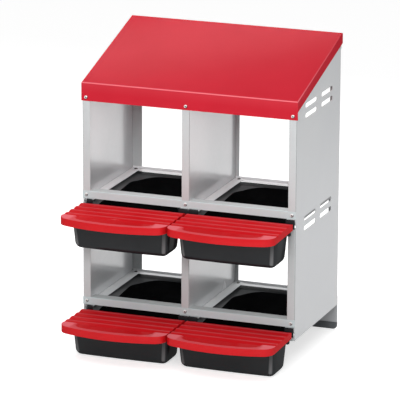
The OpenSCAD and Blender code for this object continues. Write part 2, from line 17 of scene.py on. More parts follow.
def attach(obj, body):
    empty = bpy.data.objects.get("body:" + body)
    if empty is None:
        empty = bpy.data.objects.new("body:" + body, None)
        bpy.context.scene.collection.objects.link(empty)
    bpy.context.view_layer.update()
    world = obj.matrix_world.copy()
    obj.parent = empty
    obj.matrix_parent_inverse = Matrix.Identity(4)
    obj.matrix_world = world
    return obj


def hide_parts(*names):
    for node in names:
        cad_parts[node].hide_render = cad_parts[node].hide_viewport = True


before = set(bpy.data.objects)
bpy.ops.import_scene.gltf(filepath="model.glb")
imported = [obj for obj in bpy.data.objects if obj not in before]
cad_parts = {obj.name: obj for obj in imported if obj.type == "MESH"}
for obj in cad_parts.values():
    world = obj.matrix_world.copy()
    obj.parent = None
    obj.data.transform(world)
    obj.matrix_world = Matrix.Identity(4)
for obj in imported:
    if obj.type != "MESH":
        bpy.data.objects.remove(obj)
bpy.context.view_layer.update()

LOG = logging.getLogger("nest_box")
CABINET = "cabinet"
MM = 0.001
# Millimetres within which places count as one, vertices merge, and a cut meets a vertex.
NEAR, MERGE, CUT = 1e-3, 1e-4, 1e-5
# Shares of a normal along an axis: the face looks that way, is slanted to it, or is square to it.
FACING, SLANTED, SQUARE = 0.9, 0.5, 0.3
# Degrees that an edge turns: it stays sharp, is a fold, or is a steep fold.
SHARP_DEG, FOLD_DEG, STEEP_DEG = 38.0, 25.0, 60.0
# How many times larger a broad face of a sheet is than the faces of its folds.
BROAD = 8.0
WHITE = (1.0, 1.0, 1.0, 1.0)
UNIT = (0.0, 1.0)

Pair = tuple[float, float]
Point = tuple[float, float, float]
Colour = tuple[float, float, float, float]
Row = tuple[float, ...]
FaceRule = Callable[[BMFace, Vector], int]


class Level(Enum):
    """The two floors of the nest box."""

    LOWER = "lower"
    UPPER = "upper"


class Side(Enum):
    """The two columns of nests, seen from the front."""

    LEFT = "left"
    RIGHT = "right"


@dataclass(frozen=True)
class Plan:
    """Shared places of the nest box, in millimetres from the front plane of its posts.

    Attributes:
        front_y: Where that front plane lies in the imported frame.
        rails: Height of each front rail's lower edge, lower level first.
        bays: Middle of each column of nests, left one first.
    """

    front_y: float = -81.0
    rails: Pair = (112.0, 417.0)
    bays: Pair = (-153.5, 155.9)
    half_w: float = 310.0
    depth: float = 370.0
    sheet: float = 1.2
    panel_base: float = 73.0
    post: float = 22.0
    rear_flange: float = 30.0
    throat: float = 45.0
    divider: float = 3.0
    divider_flange: float = 22.0
    divider_rear: float = 11.0
    rail_h: float = 21.0
    rail_return: float = 30.0
    runner_drop: float = 4.0
    ledge_d: float = 25.0
    header_low: float = 809.75
    roof_front: float = 744.0
    roof_rear: float = 855.0
    roof_rear_y: float = 375.0
    roof_half_w: float = 312.7
    rim_drop: float = 14.0

    def rail(self, level: Level) -> float:
        """Height of a rail's lower edge."""
        return self.rails[list(Level).index(level)]

    def walls(self, side: Side) -> Pair:
        """Left and right wall of a nest."""
        left = (self.sheet - self.half_w, self.divider - self.sheet)
        return left if side is Side.LEFT else (self.divider, self.half_w - self.sheet)

    def flange_gap(self, side: Side) -> Pair:
        """Clear width between the front flanges of a nest."""
        left = (self.post - self.half_w, self.divider - self.divider_flange)
        return left if side is Side.LEFT else (self.divider, self.half_w - self.post)

    def rise(self) -> float:
        """Rise of the roof for each millimetre to the rear."""
        return (self.roof_rear - self.roof_front) / (self.roof_rear_y + self.sheet)

    def roof_top(self, y: float) -> float:
        """Height of the roof's upper face at a depth."""
        return self.roof_front + (y + self.sheet) * self.rise()

    def roof_under(self, y: float) -> float:
        """Height of the roof's lower face at a depth."""
        return self.roof_top(y) - self.sheet * math.hypot(1.0, self.rise())

    def front_screws(self) -> list[float]:
        """Screw places across the front: two posts and the divider's flange."""
        post = self.half_w - self.post / 2
        return [-post, self.divider - self.divider_flange / 2, post]

    def rear_screws(self) -> list[float]:
        """Screw places across the rear flanges."""
        outer = self.half_w - self.rear_flange / 2
        return [-outer, self.divider + self.divider_rear / 2, outer]


PLAN = Plan()


def fresh_tree(owner: Union[Material, World]) -> NodeTree:
    """Empties the nodes of a material or a world.

    Args:
        owner: The material or the world.

    Returns:
        Its nodes.
    """
    owner.use_nodes = True
    owner.node_tree.nodes.clear()
    return owner.node_tree


def add_node(tree: NodeTree, kind: str, inputs: Optional[dict[Union[str, int], Any]] = None,
             **options: str) -> Node:
    """Adds a shader node.

    Args:
        tree: The nodes that it joins.
        kind: Its type, without ShaderNode.
        inputs: A value, or a socket to link, for an input's name or number.
        options: Settings that are made before the inputs.

    Returns:
        The node.
    """
    node = tree.nodes.new(f"ShaderNode{kind}")
    for name, option in options.items():
        setattr(node, name, option)
    for key, value in (inputs or {}).items():
        if isinstance(value, NodeSocket):
            tree.links.new(value, node.inputs[key])
        else:
            node.inputs[key].default_value = value
    return node


def remap(tree: NodeTree, value: NodeSocket, old: Pair, new: Pair) -> NodeSocket:
    """Maps a value from one range to another."""
    names = ("Value", "From Min", "From Max", "To Min", "To Max")
    return add_node(tree, "MapRange", dict(zip(names, (value, *old, *new)))).outputs["Result"]


def blend(tree: NodeTree, share: NodeSocket, first: Any, second: Colour) -> NodeSocket:
    """Mixes a colour or a socket with a second colour."""
    inputs = {"Factor": share, "A": first, "B": second}
    return add_node(tree, "Mix", inputs, data_type="RGBA").outputs["Result"]


@dataclass(frozen=True)
class Finish:
    """A procedural surface: two tones in clouds, a grain, and a fine relief.

    Attributes:
        tone: Main colour, linear.
        tone_shift: Second colour of the clouds, linear.
        cloud_scale: Clouds for each metre.
        grain_scale: Grains for each metre.
        grain_weight: How much the grain darkens the colour.
        rough: Lowest and highest roughness.
        relief: Strength and depth in metres of the bump.
        highlight_paint: Paler colour painted where the mesh's painted_highlight attribute is 1, linear: a
            painted highlight.
        cloud_span: Values of the clouds that the tones change between.
        rough_span: Values of the clouds that the roughness changes between.
    """

    name: str
    slot: str
    tone: Colour
    tone_shift: Colour
    cloud_scale: float
    grain_scale: float
    grain_weight: float
    rough: Pair
    relief: Pair
    metallic: float = 0.0
    specular: float = 0.5
    coat: float = 0.0
    coat_rough: float = 0.1
    coat_ior: float = 1.5
    spangle: bool = False
    highlight_paint: Optional[Colour] = None
    cloud_span: Pair = (0.35, 0.65)
    rough_span: Pair = (0.3, 0.7)
    cloud_detail: float = 3.0
    grain_detail: float = 2.0

    @cache
    def make(self) -> Material:
        """Builds the material the first time, and gives the same one afterwards.

        Returns:
            The material, on Object coordinates.
        """
        material = bpy.data.materials.new(self.name)
        tree = fresh_tree(material)
        where = add_node(tree, "TexCoord").outputs["Object"]
        noise = {"Vector": where, "Scale": self.cloud_scale, "Detail": self.cloud_detail}
        clouds = add_node(tree, "TexNoise", noise).outputs["Fac"]
        grain = self._grain(tree, where)
        bump = {"Height": grain, "Strength": self.relief[0], "Distance": self.relief[1]}
        shader = add_node(tree, "BsdfPrincipled", {
            "Base Color": self._colour(tree, clouds, grain),
            "Roughness": remap(tree, clouds, self.rough_span, self.rough),
            "Normal": add_node(tree, "Bump", bump).outputs["Normal"],
            "Metallic": self.metallic,
            "Specular IOR Level": self.specular,
            "Coat Weight": self.coat,
            "Coat Roughness": self.coat_rough,
            "Coat IOR": self.coat_ior,
        })
        add_node(tree, "OutputMaterial", {"Surface": shader.outputs["BSDF"]})
        return material

    def _grain(self, tree: NodeTree, where: NodeSocket) -> NodeSocket:
        """Adds the grain, which is a fine noise or the crystals of a zinc coat.

        Args:
            tree: The material's nodes.
            where: The coordinates.

        Returns:
            Its grey value.
        """
        inputs = {"Vector": where, "Scale": self.grain_scale}
        if not self.spangle:
            return add_node(tree, "TexNoise", {**inputs, "Detail": self.grain_detail}).outputs["Fac"]
        cells = add_node(tree, "TexVoronoi", inputs)
        return add_node(tree, "RGBToBW", {"Color": cells.outputs["Color"]}).outputs["Val"]

    def _colour(self, tree: NodeTree, clouds: NodeSocket, grain: NodeSocket) -> NodeSocket:
        """Mixes the tones by the clouds, pales the painted highlights, and darkens it by the grain.

        Args:
            tree: The material's nodes.
            clouds: Broad value.
            grain: Fine value.

        Returns:
            The colour.
        """
        colour = blend(tree, remap(tree, clouds, self.cloud_span, UNIT), self.tone, self.tone_shift)
        # Painted highlight: a paler colour, laid on by the mesh's attribute.
        if self.highlight_paint:
            highlight_share = add_node(tree, "Attribute", attribute_name="painted_highlight").outputs["Fac"]
            colour = blend(tree, highlight_share, colour, self.highlight_paint)
        dark = remap(tree, grain, UNIT, (1.0 - self.grain_weight, 1.0 + self.grain_weight))
        return add_node(tree, "VectorMath", {0: colour, "Scale": dark}, operation="SCALE").outputs["Vector"]


# Inner faces of the sheets. The steels after it are copies of the same zinc sheet in other tones, for how the
# light falls on each face: painted light and shade.
STEEL = Finish("zinc_coated_sheet", "steel_sheet", (0.64, 0.655, 0.67, 1), (0.67, 0.685, 0.695, 1),
               4.0, 140.0, 0.012, (0.20, 0.28), (0.03, 0.0002), metallic=0.15, coat=0.4, coat_rough=0.15,
               spangle=True)
# Darker copy for the outer faces, the rear header and the foot plate: painted shade.
SHADED_OUTER_STEEL = Finish("zinc_outer_painted_shade", "steel_sheet", (0.48, 0.49, 0.505, 1), (0.51, 0.52, 0.53, 1),
                     4.0, 140.0, 0.006, (0.30, 0.34), (0.005, 0.0001), metallic=0.1, specular=0.3, coat=0.1,
                     spangle=True)
# Darker matt copy for the flanges and the rails' tops: painted shade.
SHADED_FRONT_STEEL = Finish("zinc_coated_front", "steel_sheet", (0.525, 0.55, 0.555, 1), (0.555, 0.58, 0.585, 1),
                     4.0, 140.0, 0.012, (0.40, 0.50), (0.03, 0.0002), specular=0.2, spangle=True)
# Bluer copy for the rails' front faces, tinted against the red lids' reflection: painted light.
REFLECTION_TINTED_RAIL_STEEL = replace(SHADED_FRONT_STEEL, name="zinc_coated_rail", tone=(0.55, 0.645, 0.655, 1),
                     tone_shift=(0.58, 0.675, 0.685, 1), specular=0.1)
# Paler copy for the runners and the rear ledges: painted sheen.
SHEEN_RUNNER_STEEL = replace(SHADED_FRONT_STEEL, name="zinc_coated_runner", tone=(0.80, 0.81, 0.82, 1),
                       tone_shift=(0.83, 0.84, 0.85, 1))
# Dark copy: painted shade on the runners' webs seen through the vents, and a painted dark line on the
# uprights' front folds.
SHADED_WEB_STEEL = replace(SHADED_FRONT_STEEL, name="zinc_web_painted_shade", tone=(0.27, 0.275, 0.28, 1),
                    tone_shift=(0.30, 0.305, 0.31, 1), rough=(0.50, 0.60), specular=0.05)
# The paler colours that end the next three finishes are painted highlights.
ROOF_PAINT = Finish("red_powder_coat", "red_roof_paint", (0.52, 0.016, 0.030, 1), (0.55, 0.018, 0.034, 1),
                    5.0, 900.0, 0.03, (0.45, 0.55), (0.10, 0.0002), specular=0.0, coat=0.03, coat_rough=0.25,
                    coat_ior=2.5, highlight_paint=(0.85, 0.22, 0.26, 1))
LID_RED = Finish("red_moulded_plastic", "red_lid_plastic", (0.56, 0.0085, 0.0125, 1),
                 (0.60, 0.0105, 0.0155, 1), 8.0, 700.0, 0.03, (0.40, 0.50), (0.05, 0.0002), specular=0.0,
                 coat=0.05, coat_rough=0.10, coat_ior=2.5, highlight_paint=(0.80, 0.16, 0.19, 1))
PAN_BLACK = Finish("black_moulded_plastic", "black_pan_plastic", (0.014, 0.016, 0.018, 1),
                   (0.018, 0.020, 0.022, 1), 9.0, 1100.0, 0.12, (0.50, 0.60), (0.10, 0.0002), specular=0.0,
                   coat=0.075, coat_rough=0.12, coat_ior=2.5, highlight_paint=(0.26, 0.265, 0.27, 1))
# Darker copy of the black plastic for the bowl's floor: painted shade, with a coarser real texture.
PAN_FLOOR_PAINTED_SHADE = Finish("black_textured_floor", "black_pan_plastic", (0.0025, 0.0026, 0.0028, 1),
                   (0.004, 0.0042, 0.0045, 1), 14.0, 420.0, 0.3, (0.65, 0.80), (0.25, 0.0004), specular=0.0)
RUBBER = Finish("black_edge_rubber", "black_rubber", (0.120, 0.127, 0.135, 1), (0.140, 0.147, 0.155, 1),
                12.0, 800.0, 0.2, (0.55, 0.7), (0.2, 0.0003), specular=0.1)
ZINC = Finish("bright_zinc_plate", "zinc_fasteners", (0.74, 0.74, 0.73, 1), (0.80, 0.80, 0.79, 1),
              60.0, 2500.0, 0.05, (0.30, 0.40), (0.08, 0.0001), metallic=0.2, specular=0.2)
# Painted shade for the screws' cross recess and one side of each head.
SCREW_PAINTED_SHADE = Finish("screw_painted_shade", "zinc_fasteners", (0.020, 0.020, 0.020, 1), (0.035, 0.034, 0.033, 1),
                      80.0, 2500.0, 0.2, (0.6, 0.8), (0.2, 0.0001), specular=0.1)


def mix(a: float, b: float, share: float) -> float:
    """A value between two others."""
    return a + (b - a) * share


def ramp(value: float, start: float, end: float) -> float:
    """A smooth step from 0 at the start to 1 at the end."""
    t = min(max((value - start) / (end - start), 0.0), 1.0)
    return t * t * (3.0 - 2.0 * t)


def hump(value: float, middle: float, reach: float) -> float:
    """A value of 1 in the middle that falls to 0 at its reach."""
    return max(1.0 - abs(value - middle) / reach, 0.0)


def run(edge: BMEdge) -> Vector:
    """The way from an edge's first end to its second."""
    return edge.verts[1].co - edge.verts[0].co


def verts_of(geom: Iterable) -> list[BMVert]:
    """The vertices in an operator's result."""
    return [g for g in geom if isinstance(g, BMVert)]


def fold_ends(bm: BMesh) -> list[int]:
    """Finds the edges between a broad face and the narrow faces of a fold.

    Args:
        bm: The mesh of a folded sheet.

    Returns:
        The edges' numbers.
    """
    bm.edges.index_update()
    found = []
    for e in bm.edges:
        areas = sorted(f.calc_area() for f in e.link_faces)
        if len(areas) == 2 and areas[1] > BROAD * areas[0]:
            found.append(e.index)
    return found


def show(name: str, data: bpy.types.ID) -> bpy.types.Object:
    """Puts a mesh, a lamp or a camera in the scene.

    Args:
        name: The object's name.
        data: What it shows.

    Returns:
        The object, at the origin.
    """
    thing = bpy.data.objects.new(name, data)
    bpy.context.scene.collection.objects.link(thing)
    return thing


def piece(bm: BMesh, node: str, form: str, finish: Finish, others: Sequence[Finish] = (), sheet: bool = False,
          body: str = CABINET) -> None:
    """Turns a mesh in millimetres into the piece that stands for a CAD node.

    Args:
        bm: The mesh, about the front plane of the posts. It is freed.
        node: The CAD node.
        form: What the piece is, for the end of its name.
        finish: The piece's surface.
        others: The surfaces of the faces with material index 1 and up.
        sheet: True for folded sheet, whose broad faces stay flat up to the rounding of a fold.
        body: The CAD body that it rides on.
    """
    name = f"{node.removesuffix('s')}_{form}"
    place = Matrix.Scale(MM, 4) @ Matrix.Translation((0, PLAN.front_y, 0))
    bmesh.ops.transform(bm, matrix=place, verts=bm.verts)
    mesh = bpy.data.meshes.new(name)
    crisp = fold_ends(bm) if sheet else []
    bm.to_mesh(mesh)
    bm.free()
    mesh.shade_smooth()
    mesh.set_sharp_from_angle(angle=math.radians(SHARP_DEG))
    for index in crisp:
        mesh.edges[index].use_edge_sharp = True
    for surface in (finish, *others):
        mesh.materials.append(surface.make())
    thing = show(name, mesh)
    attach(thing, body)
    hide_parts(node)
    LOG.info("%s: %d faces on %s", name, len(mesh.polygons), body)


def add_mesh(bm: BMesh, other: BMesh) -> None:
    """Copies a mesh into another and frees it.

    Args:
        bm: The mesh that grows.
        other: The mesh that is copied.
    """
    spare = bpy.data.meshes.new("spare")
    other.to_mesh(spare)
    other.free()
    bm.from_mesh(spare)
    bpy.data.meshes.remove(spare)


def wire(bm: BMesh, points: Sequence[Point], closed: bool = False) -> list[BMEdge]:
    """Joins points with edges.

    Args:
        bm: The mesh.
        points: The corners.
        closed: True to join the last point to the first.

    Returns:
        The edges.
    """
    verts = [bm.verts.new(p) for p in points]
    pairs = list(zip(verts, verts[1:])) + ([(verts[-1], verts[0])] if closed else [])
    return [bm.edges.new(pair) for pair in pairs]


def pull(bm: BMesh, edges: Sequence[BMEdge], way: Point) -> list[BMEdge]:
    """Extrudes edges along a vector.

    Args:
        bm: The mesh.
        edges: The edges.
        way: The vector.

    Returns:
        The new far edges.
    """
    geom = bmesh.ops.extrude_edge_only(bm, edges=edges)["geom"]
    far = verts_of(geom)
    bmesh.ops.translate(bm, verts=far, vec=way)
    ends = set(far)
    return [e for e in geom if isinstance(e, BMEdge) and ends.issuperset(e.verts)]


def push(bm: BMesh, way: Point) -> None:
    """Draws a plate out along a vector into a block."""
    made = bmesh.ops.extrude_face_region(bm, geom=list(bm.faces), use_keep_orig=True)["geom"]
    bmesh.ops.translate(bm, verts=verts_of(made), vec=way)


def spin(bm: BMesh, line: Sequence[BMEdge], steps: int, full: bool) -> None:
    """Turns a line about the Z axis and joins what meets.

    Args:
        bm: The mesh.
        line: The edges.
        steps: Steps in the turn.
        full: True for a full turn, False for half.
    """
    bmesh.ops.spin(bm, geom=line, cent=(0, 0, 0), axis=(0, 0, 1), dvec=(0, 0, 0),
                   angle=2 * math.pi if full else math.pi, steps=steps, use_merge=full)
    bmesh.ops.remove_doubles(bm, verts=bm.verts, dist=MERGE)


def slice_at(bm: BMesh, point: Point, normal: Point, faces: Optional[Iterable[BMFace]] = None,
             clear: bool = False) -> None:
    """Cuts faces with a plane.

    Args:
        bm: The mesh.
        point: A point on the plane.
        normal: The plane's normal.
        faces: The faces to cut, or all.
        clear: True to remove what lies on the normal's side.
    """
    some = list(bm.faces if faces is None else faces)
    geom = list(dict.fromkeys(g for f in some for g in (*f.verts, *f.edges))) + some
    bmesh.ops.bisect_plane(bm, geom=geom, dist=CUT, plane_co=point, plane_no=normal, clear_outer=clear)


def drop_faces(bm: BMesh, rule: FaceRule) -> None:
    """Deletes the faces that a rule picks from the face and its middle, with what only they use."""
    picked = [f for f in bm.faces if rule(f, f.calc_center_median())]
    bmesh.ops.delete(bm, geom=picked, context="FACES")


def paint(bm: BMesh, rule: FaceRule) -> None:
    """Sets the faces' material indices.

    Args:
        bm: The mesh.
        rule: Gives the index from the face and its middle.
    """
    bm.normal_update()
    for f in bm.faces:
        f.material_index = int(rule(f, f.calc_center_median()))


def face_out(bm: BMesh, point: Point, way: Point) -> None:
    """Turns an open sheet so that the face nearest a point looks a given way.

    Args:
        bm: The mesh.
        point: A point near that face.
        way: The direction that it should look.
    """
    bmesh.ops.remove_doubles(bm, verts=bm.verts, dist=MERGE)
    bmesh.ops.recalc_face_normals(bm, faces=bm.faces)
    near = min(bm.faces, key=lambda f: (f.calc_center_median() - Vector(point)).length)
    near.normal_update()
    if near.normal.dot(Vector(way)) < 0:
        bmesh.ops.reverse_faces(bm, faces=bm.faces)


def thicken(bm: BMesh, wall: float) -> None:
    """Gives an open sheet its wall, on the side away from its normals."""
    bm.normal_update()
    bmesh.ops.solidify(bm, geom=list(bm.faces), thickness=wall)


def soften(bm: BMesh, geom: Sequence[Union[BMEdge, BMVert]], radius: float, segments: int = 3,
           clamp: bool = True, affect: str = "EDGES") -> None:
    """Rounds edges, or the corners of a plate.

    Args:
        bm: The mesh.
        geom: The edges or the corners.
        radius: How far the rounding reaches.
        segments: Steps in the rounding.
        clamp: False where edges run on in line, which would stop the rounding.
        affect: EDGES or VERTICES.
    """
    bmesh.ops.bevel(bm, geom=list(geom), offset=radius, offset_type="OFFSET", segments=segments, profile=0.5,
                    affect=affect, material=-1, clamp_overlap=clamp)


def plate(corners: Sequence[Point], radius: float = 0.0,
          rounded: Callable[[BMVert], bool] = lambda v: False) -> BMesh:
    """A flat plate.

    Args:
        corners: Its corners in order.
        radius: Radius of its round corners.
        rounded: Says which corners are round.

    Returns:
        The open plate.
    """
    bm = bmesh.new()
    bmesh.ops.contextual_create(bm, geom=wire(bm, corners, closed=True))
    if radius > 0.0:
        picked = [v for v in bm.verts if rounded(v)]
        soften(bm, picked, radius, segments=6, clamp=False, affect="VERTICES")
    return bm


def folds(bm: BMesh, least_deg: float = FOLD_DEG) -> list[BMEdge]:
    """The edges where a sheet turns by more than an angle."""
    bm.normal_update()
    return [e for e in bm.edges if len(e.link_faces) == 2 and e.calc_face_angle() > math.radians(least_deg)]


def cut_to_roof(bm: BMesh) -> None:
    """Removes what reaches above the roof's underside."""
    slice_at(bm, (0, 0, PLAN.roof_under(0)), (0, -PLAN.rise(), 1), clear=True)


def folded(points: Sequence[Point], along: Point, bend: float, look: tuple[Point, Point]) -> BMesh:
    """A straight folded strip of sheet.

    Args:
        points: The outer line of its section.
        along: Its length as a vector.
        bend: Reach of its rounded folds.
        look: A point on its outer side and the way that side looks.

    Returns:
        The closed mesh.
    """
    bm = bmesh.new()
    pull(bm, wire(bm, points), along)
    face_out(bm, *look)
    soften(bm, folds(bm), bend)
    thicken(bm, PLAN.sheet)
    return bm


@dataclass
class Upright:
    """A side panel or the divider: one sheet with a front and a rear flange.

    Attributes:
        name: The CAD node.
        line: Outer line of the sheet in plan, front flange first.
        vents: True to punch the vent slots.
        strip_w: Width of the flange that stays beside the fold, below a pan's rim.
    """

    name: str
    line: Sequence[Pair]
    vents: bool = False
    bend: float = 2.4
    slot_l: float = 95.0
    slot_h: float = 13.0
    slot_gap: float = 40.0
    slot_pitch: float = 28.0
    slot_tops: Pair = (401.0, 716.0)
    slot_steps: int = 16
    strip_w: float = 15.0
    strip_drop: float = 24.0

    def _in_throat(self, c: Vector, gaps: Sequence[Pair]) -> bool:
        """Says whether a point of the front flange is cut away for a pan."""
        beside = abs(c.x) > PLAN.half_w - self.strip_w
        return any(low < c.z < high and not (beside and c.z < high - self.strip_drop) for low, high in gaps)

    def _slot_loop(self, bm: BMesh, middle: Point) -> list[BMEdge]:
        """Draws a slot's outline on the web.

        Args:
            bm: The mesh.
            middle: Middle of the slot.

        Returns:
            Its edges.
        """
        turn = Matrix.Rotation(math.pi / self.slot_steps, 4, "X") @ Matrix.Rotation(math.pi / 2, 4, "Y")
        made = bmesh.ops.create_circle(bm, segments=self.slot_steps, radius=self.slot_h / 2,
                                       matrix=Matrix.Translation(middle) @ turn)["verts"]
        reach = (self.slot_l - self.slot_h) / 2
        for end in (-1, 1):
            half = [v for v in made if (v.co.y - middle[1]) * end > 0]
            bmesh.ops.translate(bm, verts=half, vec=(0, end * reach, 0))
        return list(dict.fromkeys(e for v in made for e in v.link_edges))

    def _punch(self, bm: BMesh) -> None:
        """Fills the web again with the vent slots left open.

        Args:
            bm: The folded sheet.
        """
        web = max(bm.faces, key=lambda f: f.calc_area())
        x = web.calc_center_median().x
        edges = list(web.edges)
        bmesh.ops.delete(bm, geom=[web], context="FACES_ONLY")
        for top in self.slot_tops:
            for z in (top, top - self.slot_pitch):
                for column in (-1, 1):
                    y = PLAN.depth / 2 + column * (self.slot_l + self.slot_gap) / 2
                    edges += self._slot_loop(bm, (x, y, z))
        bmesh.ops.triangle_fill(bm, edges=edges, use_beauty=True)

    def _surface(self, f: BMFace, c: Vector) -> int:
        """Picks a face's steel, from copies of one zinc sheet in tones for how the light falls on each face:
        painted light and shade.

        Args:
            f: The face.
            c: Its middle.

        Returns:
            3 on the front fold, with a painted dark line; 1 on the flanges and 2 outside, both painted shade;
            0 inside.
        """
        if abs(f.normal.x) > SLANTED and f.normal.y < -SLANTED:
            return 3
        if not PLAN.sheet < c.y < PLAN.depth - 2 * PLAN.sheet:
            return 1
        return 2 if f.normal.x * c.x > PLAN.half_w / 2 else 0

    def build(self) -> None:
        """Folds, punches and places the sheet."""
        bm = bmesh.new()
        foot = wire(bm, [(x, y, PLAN.panel_base) for x, y in self.line])
        pull(bm, foot, (0, 0, PLAN.roof_rear - PLAN.panel_base))
        soften(bm, folds(bm, STEEP_DEG), self.bend)
        if self.vents:
            self._punch(bm)
        cut_to_roof(bm)
        lower, upper = PLAN.rails
        throat = upper - PLAN.throat
        heights = (lower, throat, upper, lower - self.strip_drop, upper - self.strip_drop)
        cuts = [((0, 0, z), (0, 0, 1)) for z in heights]
        cuts += [((way * (PLAN.half_w - self.strip_w), 0, 0), (1, 0, 0)) for way in (-1, 1)]
        for point, normal in cuts:
            slice_at(bm, point, normal, [f for f in bm.faces if f.calc_center_median().y < self.bend])
        gaps = [(PLAN.panel_base, lower), (throat, upper)]
        drop_faces(bm, lambda f, c: c.y < self.bend and self._in_throat(c, gaps))
        x = self.line[1][0]
        face_out(bm, (x, PLAN.depth / 2, upper), (math.copysign(1.0, x), 0, 0))
        thicken(bm, PLAN.sheet)
        paint(bm, self._surface)
        piece(bm, self.name, "sheet", STEEL, (SHADED_FRONT_STEEL, SHADED_OUTER_STEEL, SHADED_WEB_STEEL), sheet=True)


@dataclass
class Roof:
    """The folded roof sheet with its fascia and lips.

    Attributes:
        highlight_turn: Degrees above the horizon at which the front fold gets the most painted highlight.
        highlight_reach: Degrees from there to where it gets none.
        long_edge: Edges longer than this run the whole way.
    """

    fascia_h: float = 52.0
    lip: float = 30.0
    rear_lip: float = 14.0
    bend: float = 3.2
    fold_highlight: float = 1.2
    highlight_turn: float = 37.0
    highlight_reach: float = 30.0
    long_edge: float = 100.0

    def build(self) -> None:
        """Folds and places the roof."""
        bm = bmesh.new()
        front, rear = -PLAN.sheet, PLAN.roof_rear_y
        w, top = PLAN.roof_half_w, PLAN.roof_front
        line = [(-w, front, top - self.fascia_h), (-w, front, top - self.lip), (-w, front, top),
                (-w, rear, PLAN.roof_rear), (-w, rear, PLAN.roof_rear - self.rear_lip)]
        pull(bm, wire(bm, line), (2 * w, 0, 0))
        eaves = [e for e in bm.edges if abs(run(e).x) < NEAR and abs(run(e).y) > self.long_edge]
        pull(bm, eaves, (0, 0, -self.lip))
        for e in [e for e in bm.edges if all(abs(v.co.y - rear) < NEAR for v in e.verts)
                  and abs(abs(run(e).z) - self.lip) < NEAR]:
            bmesh.utils.edge_split(e, max(e.verts, key=lambda v: v.co.z), self.rear_lip / self.lip)
        face_out(bm, (0, rear / 2, PLAN.roof_top(rear / 2)), (0, 0, 1))
        long = [e for e in folds(bm) if e.calc_length() > self.long_edge]
        soften(bm, long, self.bend, segments=4, clamp=False)
        thicken(bm, PLAN.sheet)
        bm.normal_update()
        # Painted highlight: a paler line along the front fold where it turns up toward the lights.
        painted_highlight = bm.verts.layers.float.new("painted_highlight")
        for v in bm.verts:
            v.co.y = min(v.co.y, rear)
            turn = math.degrees(math.atan2(v.normal.z, -v.normal.y))
            v[painted_highlight] = self.fold_highlight * hump(turn, self.highlight_turn, self.highlight_reach) * (v.co.y < 2 * self.bend)
        piece(bm, "roof", "sheet", ROOF_PAINT, sheet=True)


@dataclass
class RearTie:
    """The header under the roof's rear edge, the foot plate and its edge trim."""

    header_h: float = 40.0
    header_return: float = 12.0
    foot_top: float = 99.0
    trim_wall: float = 2.0
    trim_h: float = 20.0
    trim_round: float = 1.0
    corner: float = 10.0
    bend: float = 2.0

    def _header(self) -> None:
        """Folds the header."""
        x, y, z = PLAN.half_w + PLAN.sheet, PLAN.depth + PLAN.sheet, PLAN.header_low
        ahead = PLAN.depth - self.header_return
        bm = bmesh.new()
        pull(bm, wire(bm, [(-x, ahead, z), (-x, y, z), (x, y, z), (x, ahead, z)]), (0, 0, self.header_h))
        cut_to_roof(bm)
        face_out(bm, (0, y, z + self.header_h), (0, 1, 0))
        soften(bm, folds(bm), self.bend)
        thicken(bm, PLAN.sheet)
        piece(bm, "rear_header", "strip", SHADED_OUTER_STEEL, sheet=True)

    def _plate(self, y: float, low: float, high: float, corner: float) -> BMesh:
        """A flat plate across the rear, at a depth and between two heights, with round lower corners."""
        ends = ((-1, low), (1, low), (1, high), (-1, high))
        return plate([(way * PLAN.half_w, y, z) for way, z in ends], corner, lambda v: v.co.z < low + NEAR)

    def _foot(self) -> None:
        """Cuts the foot plate."""
        bm = self._plate(PLAN.depth + PLAN.sheet, self.trim_wall, self.foot_top, self.corner)
        face_out(bm, (0, PLAN.depth, self.foot_top), (0, 1, 0))
        thicken(bm, PLAN.sheet)
        piece(bm, "rear_foot", "plate", SHADED_OUTER_STEEL, sheet=True)

    def _trim(self) -> None:
        """Moulds the channel on the foot's lower edge."""
        y = PLAN.depth - self.trim_wall
        bm = self._plate(y, 0.0, self.trim_h, self.corner + self.trim_wall)
        push(bm, (0, PLAN.sheet + 2 * self.trim_wall, 0))
        drop_faces(bm, lambda f, c: all(v.co.z > self.trim_h - NEAR for v in f.verts))
        drop_faces(bm, lambda f, c: all(abs(abs(v.co.x) - PLAN.half_w) < NEAR for v in f.verts))
        face_out(bm, (0, y, self.trim_h / 2), (0, -1, 0))
        rims = [e for e in folds(bm, STEEP_DEG) if all(v.co.z < self.trim_h - NEAR for v in e.verts)]
        soften(bm, rims, self.trim_round, segments=2)
        thicken(bm, self.trim_wall)
        piece(bm, "foot_trim", "channel", RUBBER)

    def build(self) -> None:
        """Builds the three pieces."""
        for make in (self._header, self._foot, self._trim):
            make()


@dataclass
class Nest:
    """One of the four nests, whose mouldings are drawn about the front middle of the pan's rim."""

    level: Level
    side: Side

    def name(self, what: str) -> str:
        """Name of one of the nest's nodes or bodies."""
        return f"{self.level.value}_{self.side.value}_{what}"

    def column(self) -> int:
        """Number of the nest's column, from the left."""
        return list(Side).index(self.side)

    def settle(self, bm: BMesh, node: str, body: str, finish: Finish, *others: Finish) -> None:
        """Moves a moulding to its nest and makes it a piece.

        Args:
            bm: The mesh.
            node: The CAD node, without the nest's name.
            body: The nest's body that it rides on, without the nest's name.
            finish: Its surface.
            others: The surfaces of the faces with material index 1 and up.
        """
        shift = (PLAN.bays[self.column()], 0, PLAN.rail(self.level) - PLAN.rim_drop)
        bmesh.ops.translate(bm, verts=bm.verts, vec=shift)
        piece(bm, self.name(node), "moulding", finish, others, body=self.name(body))


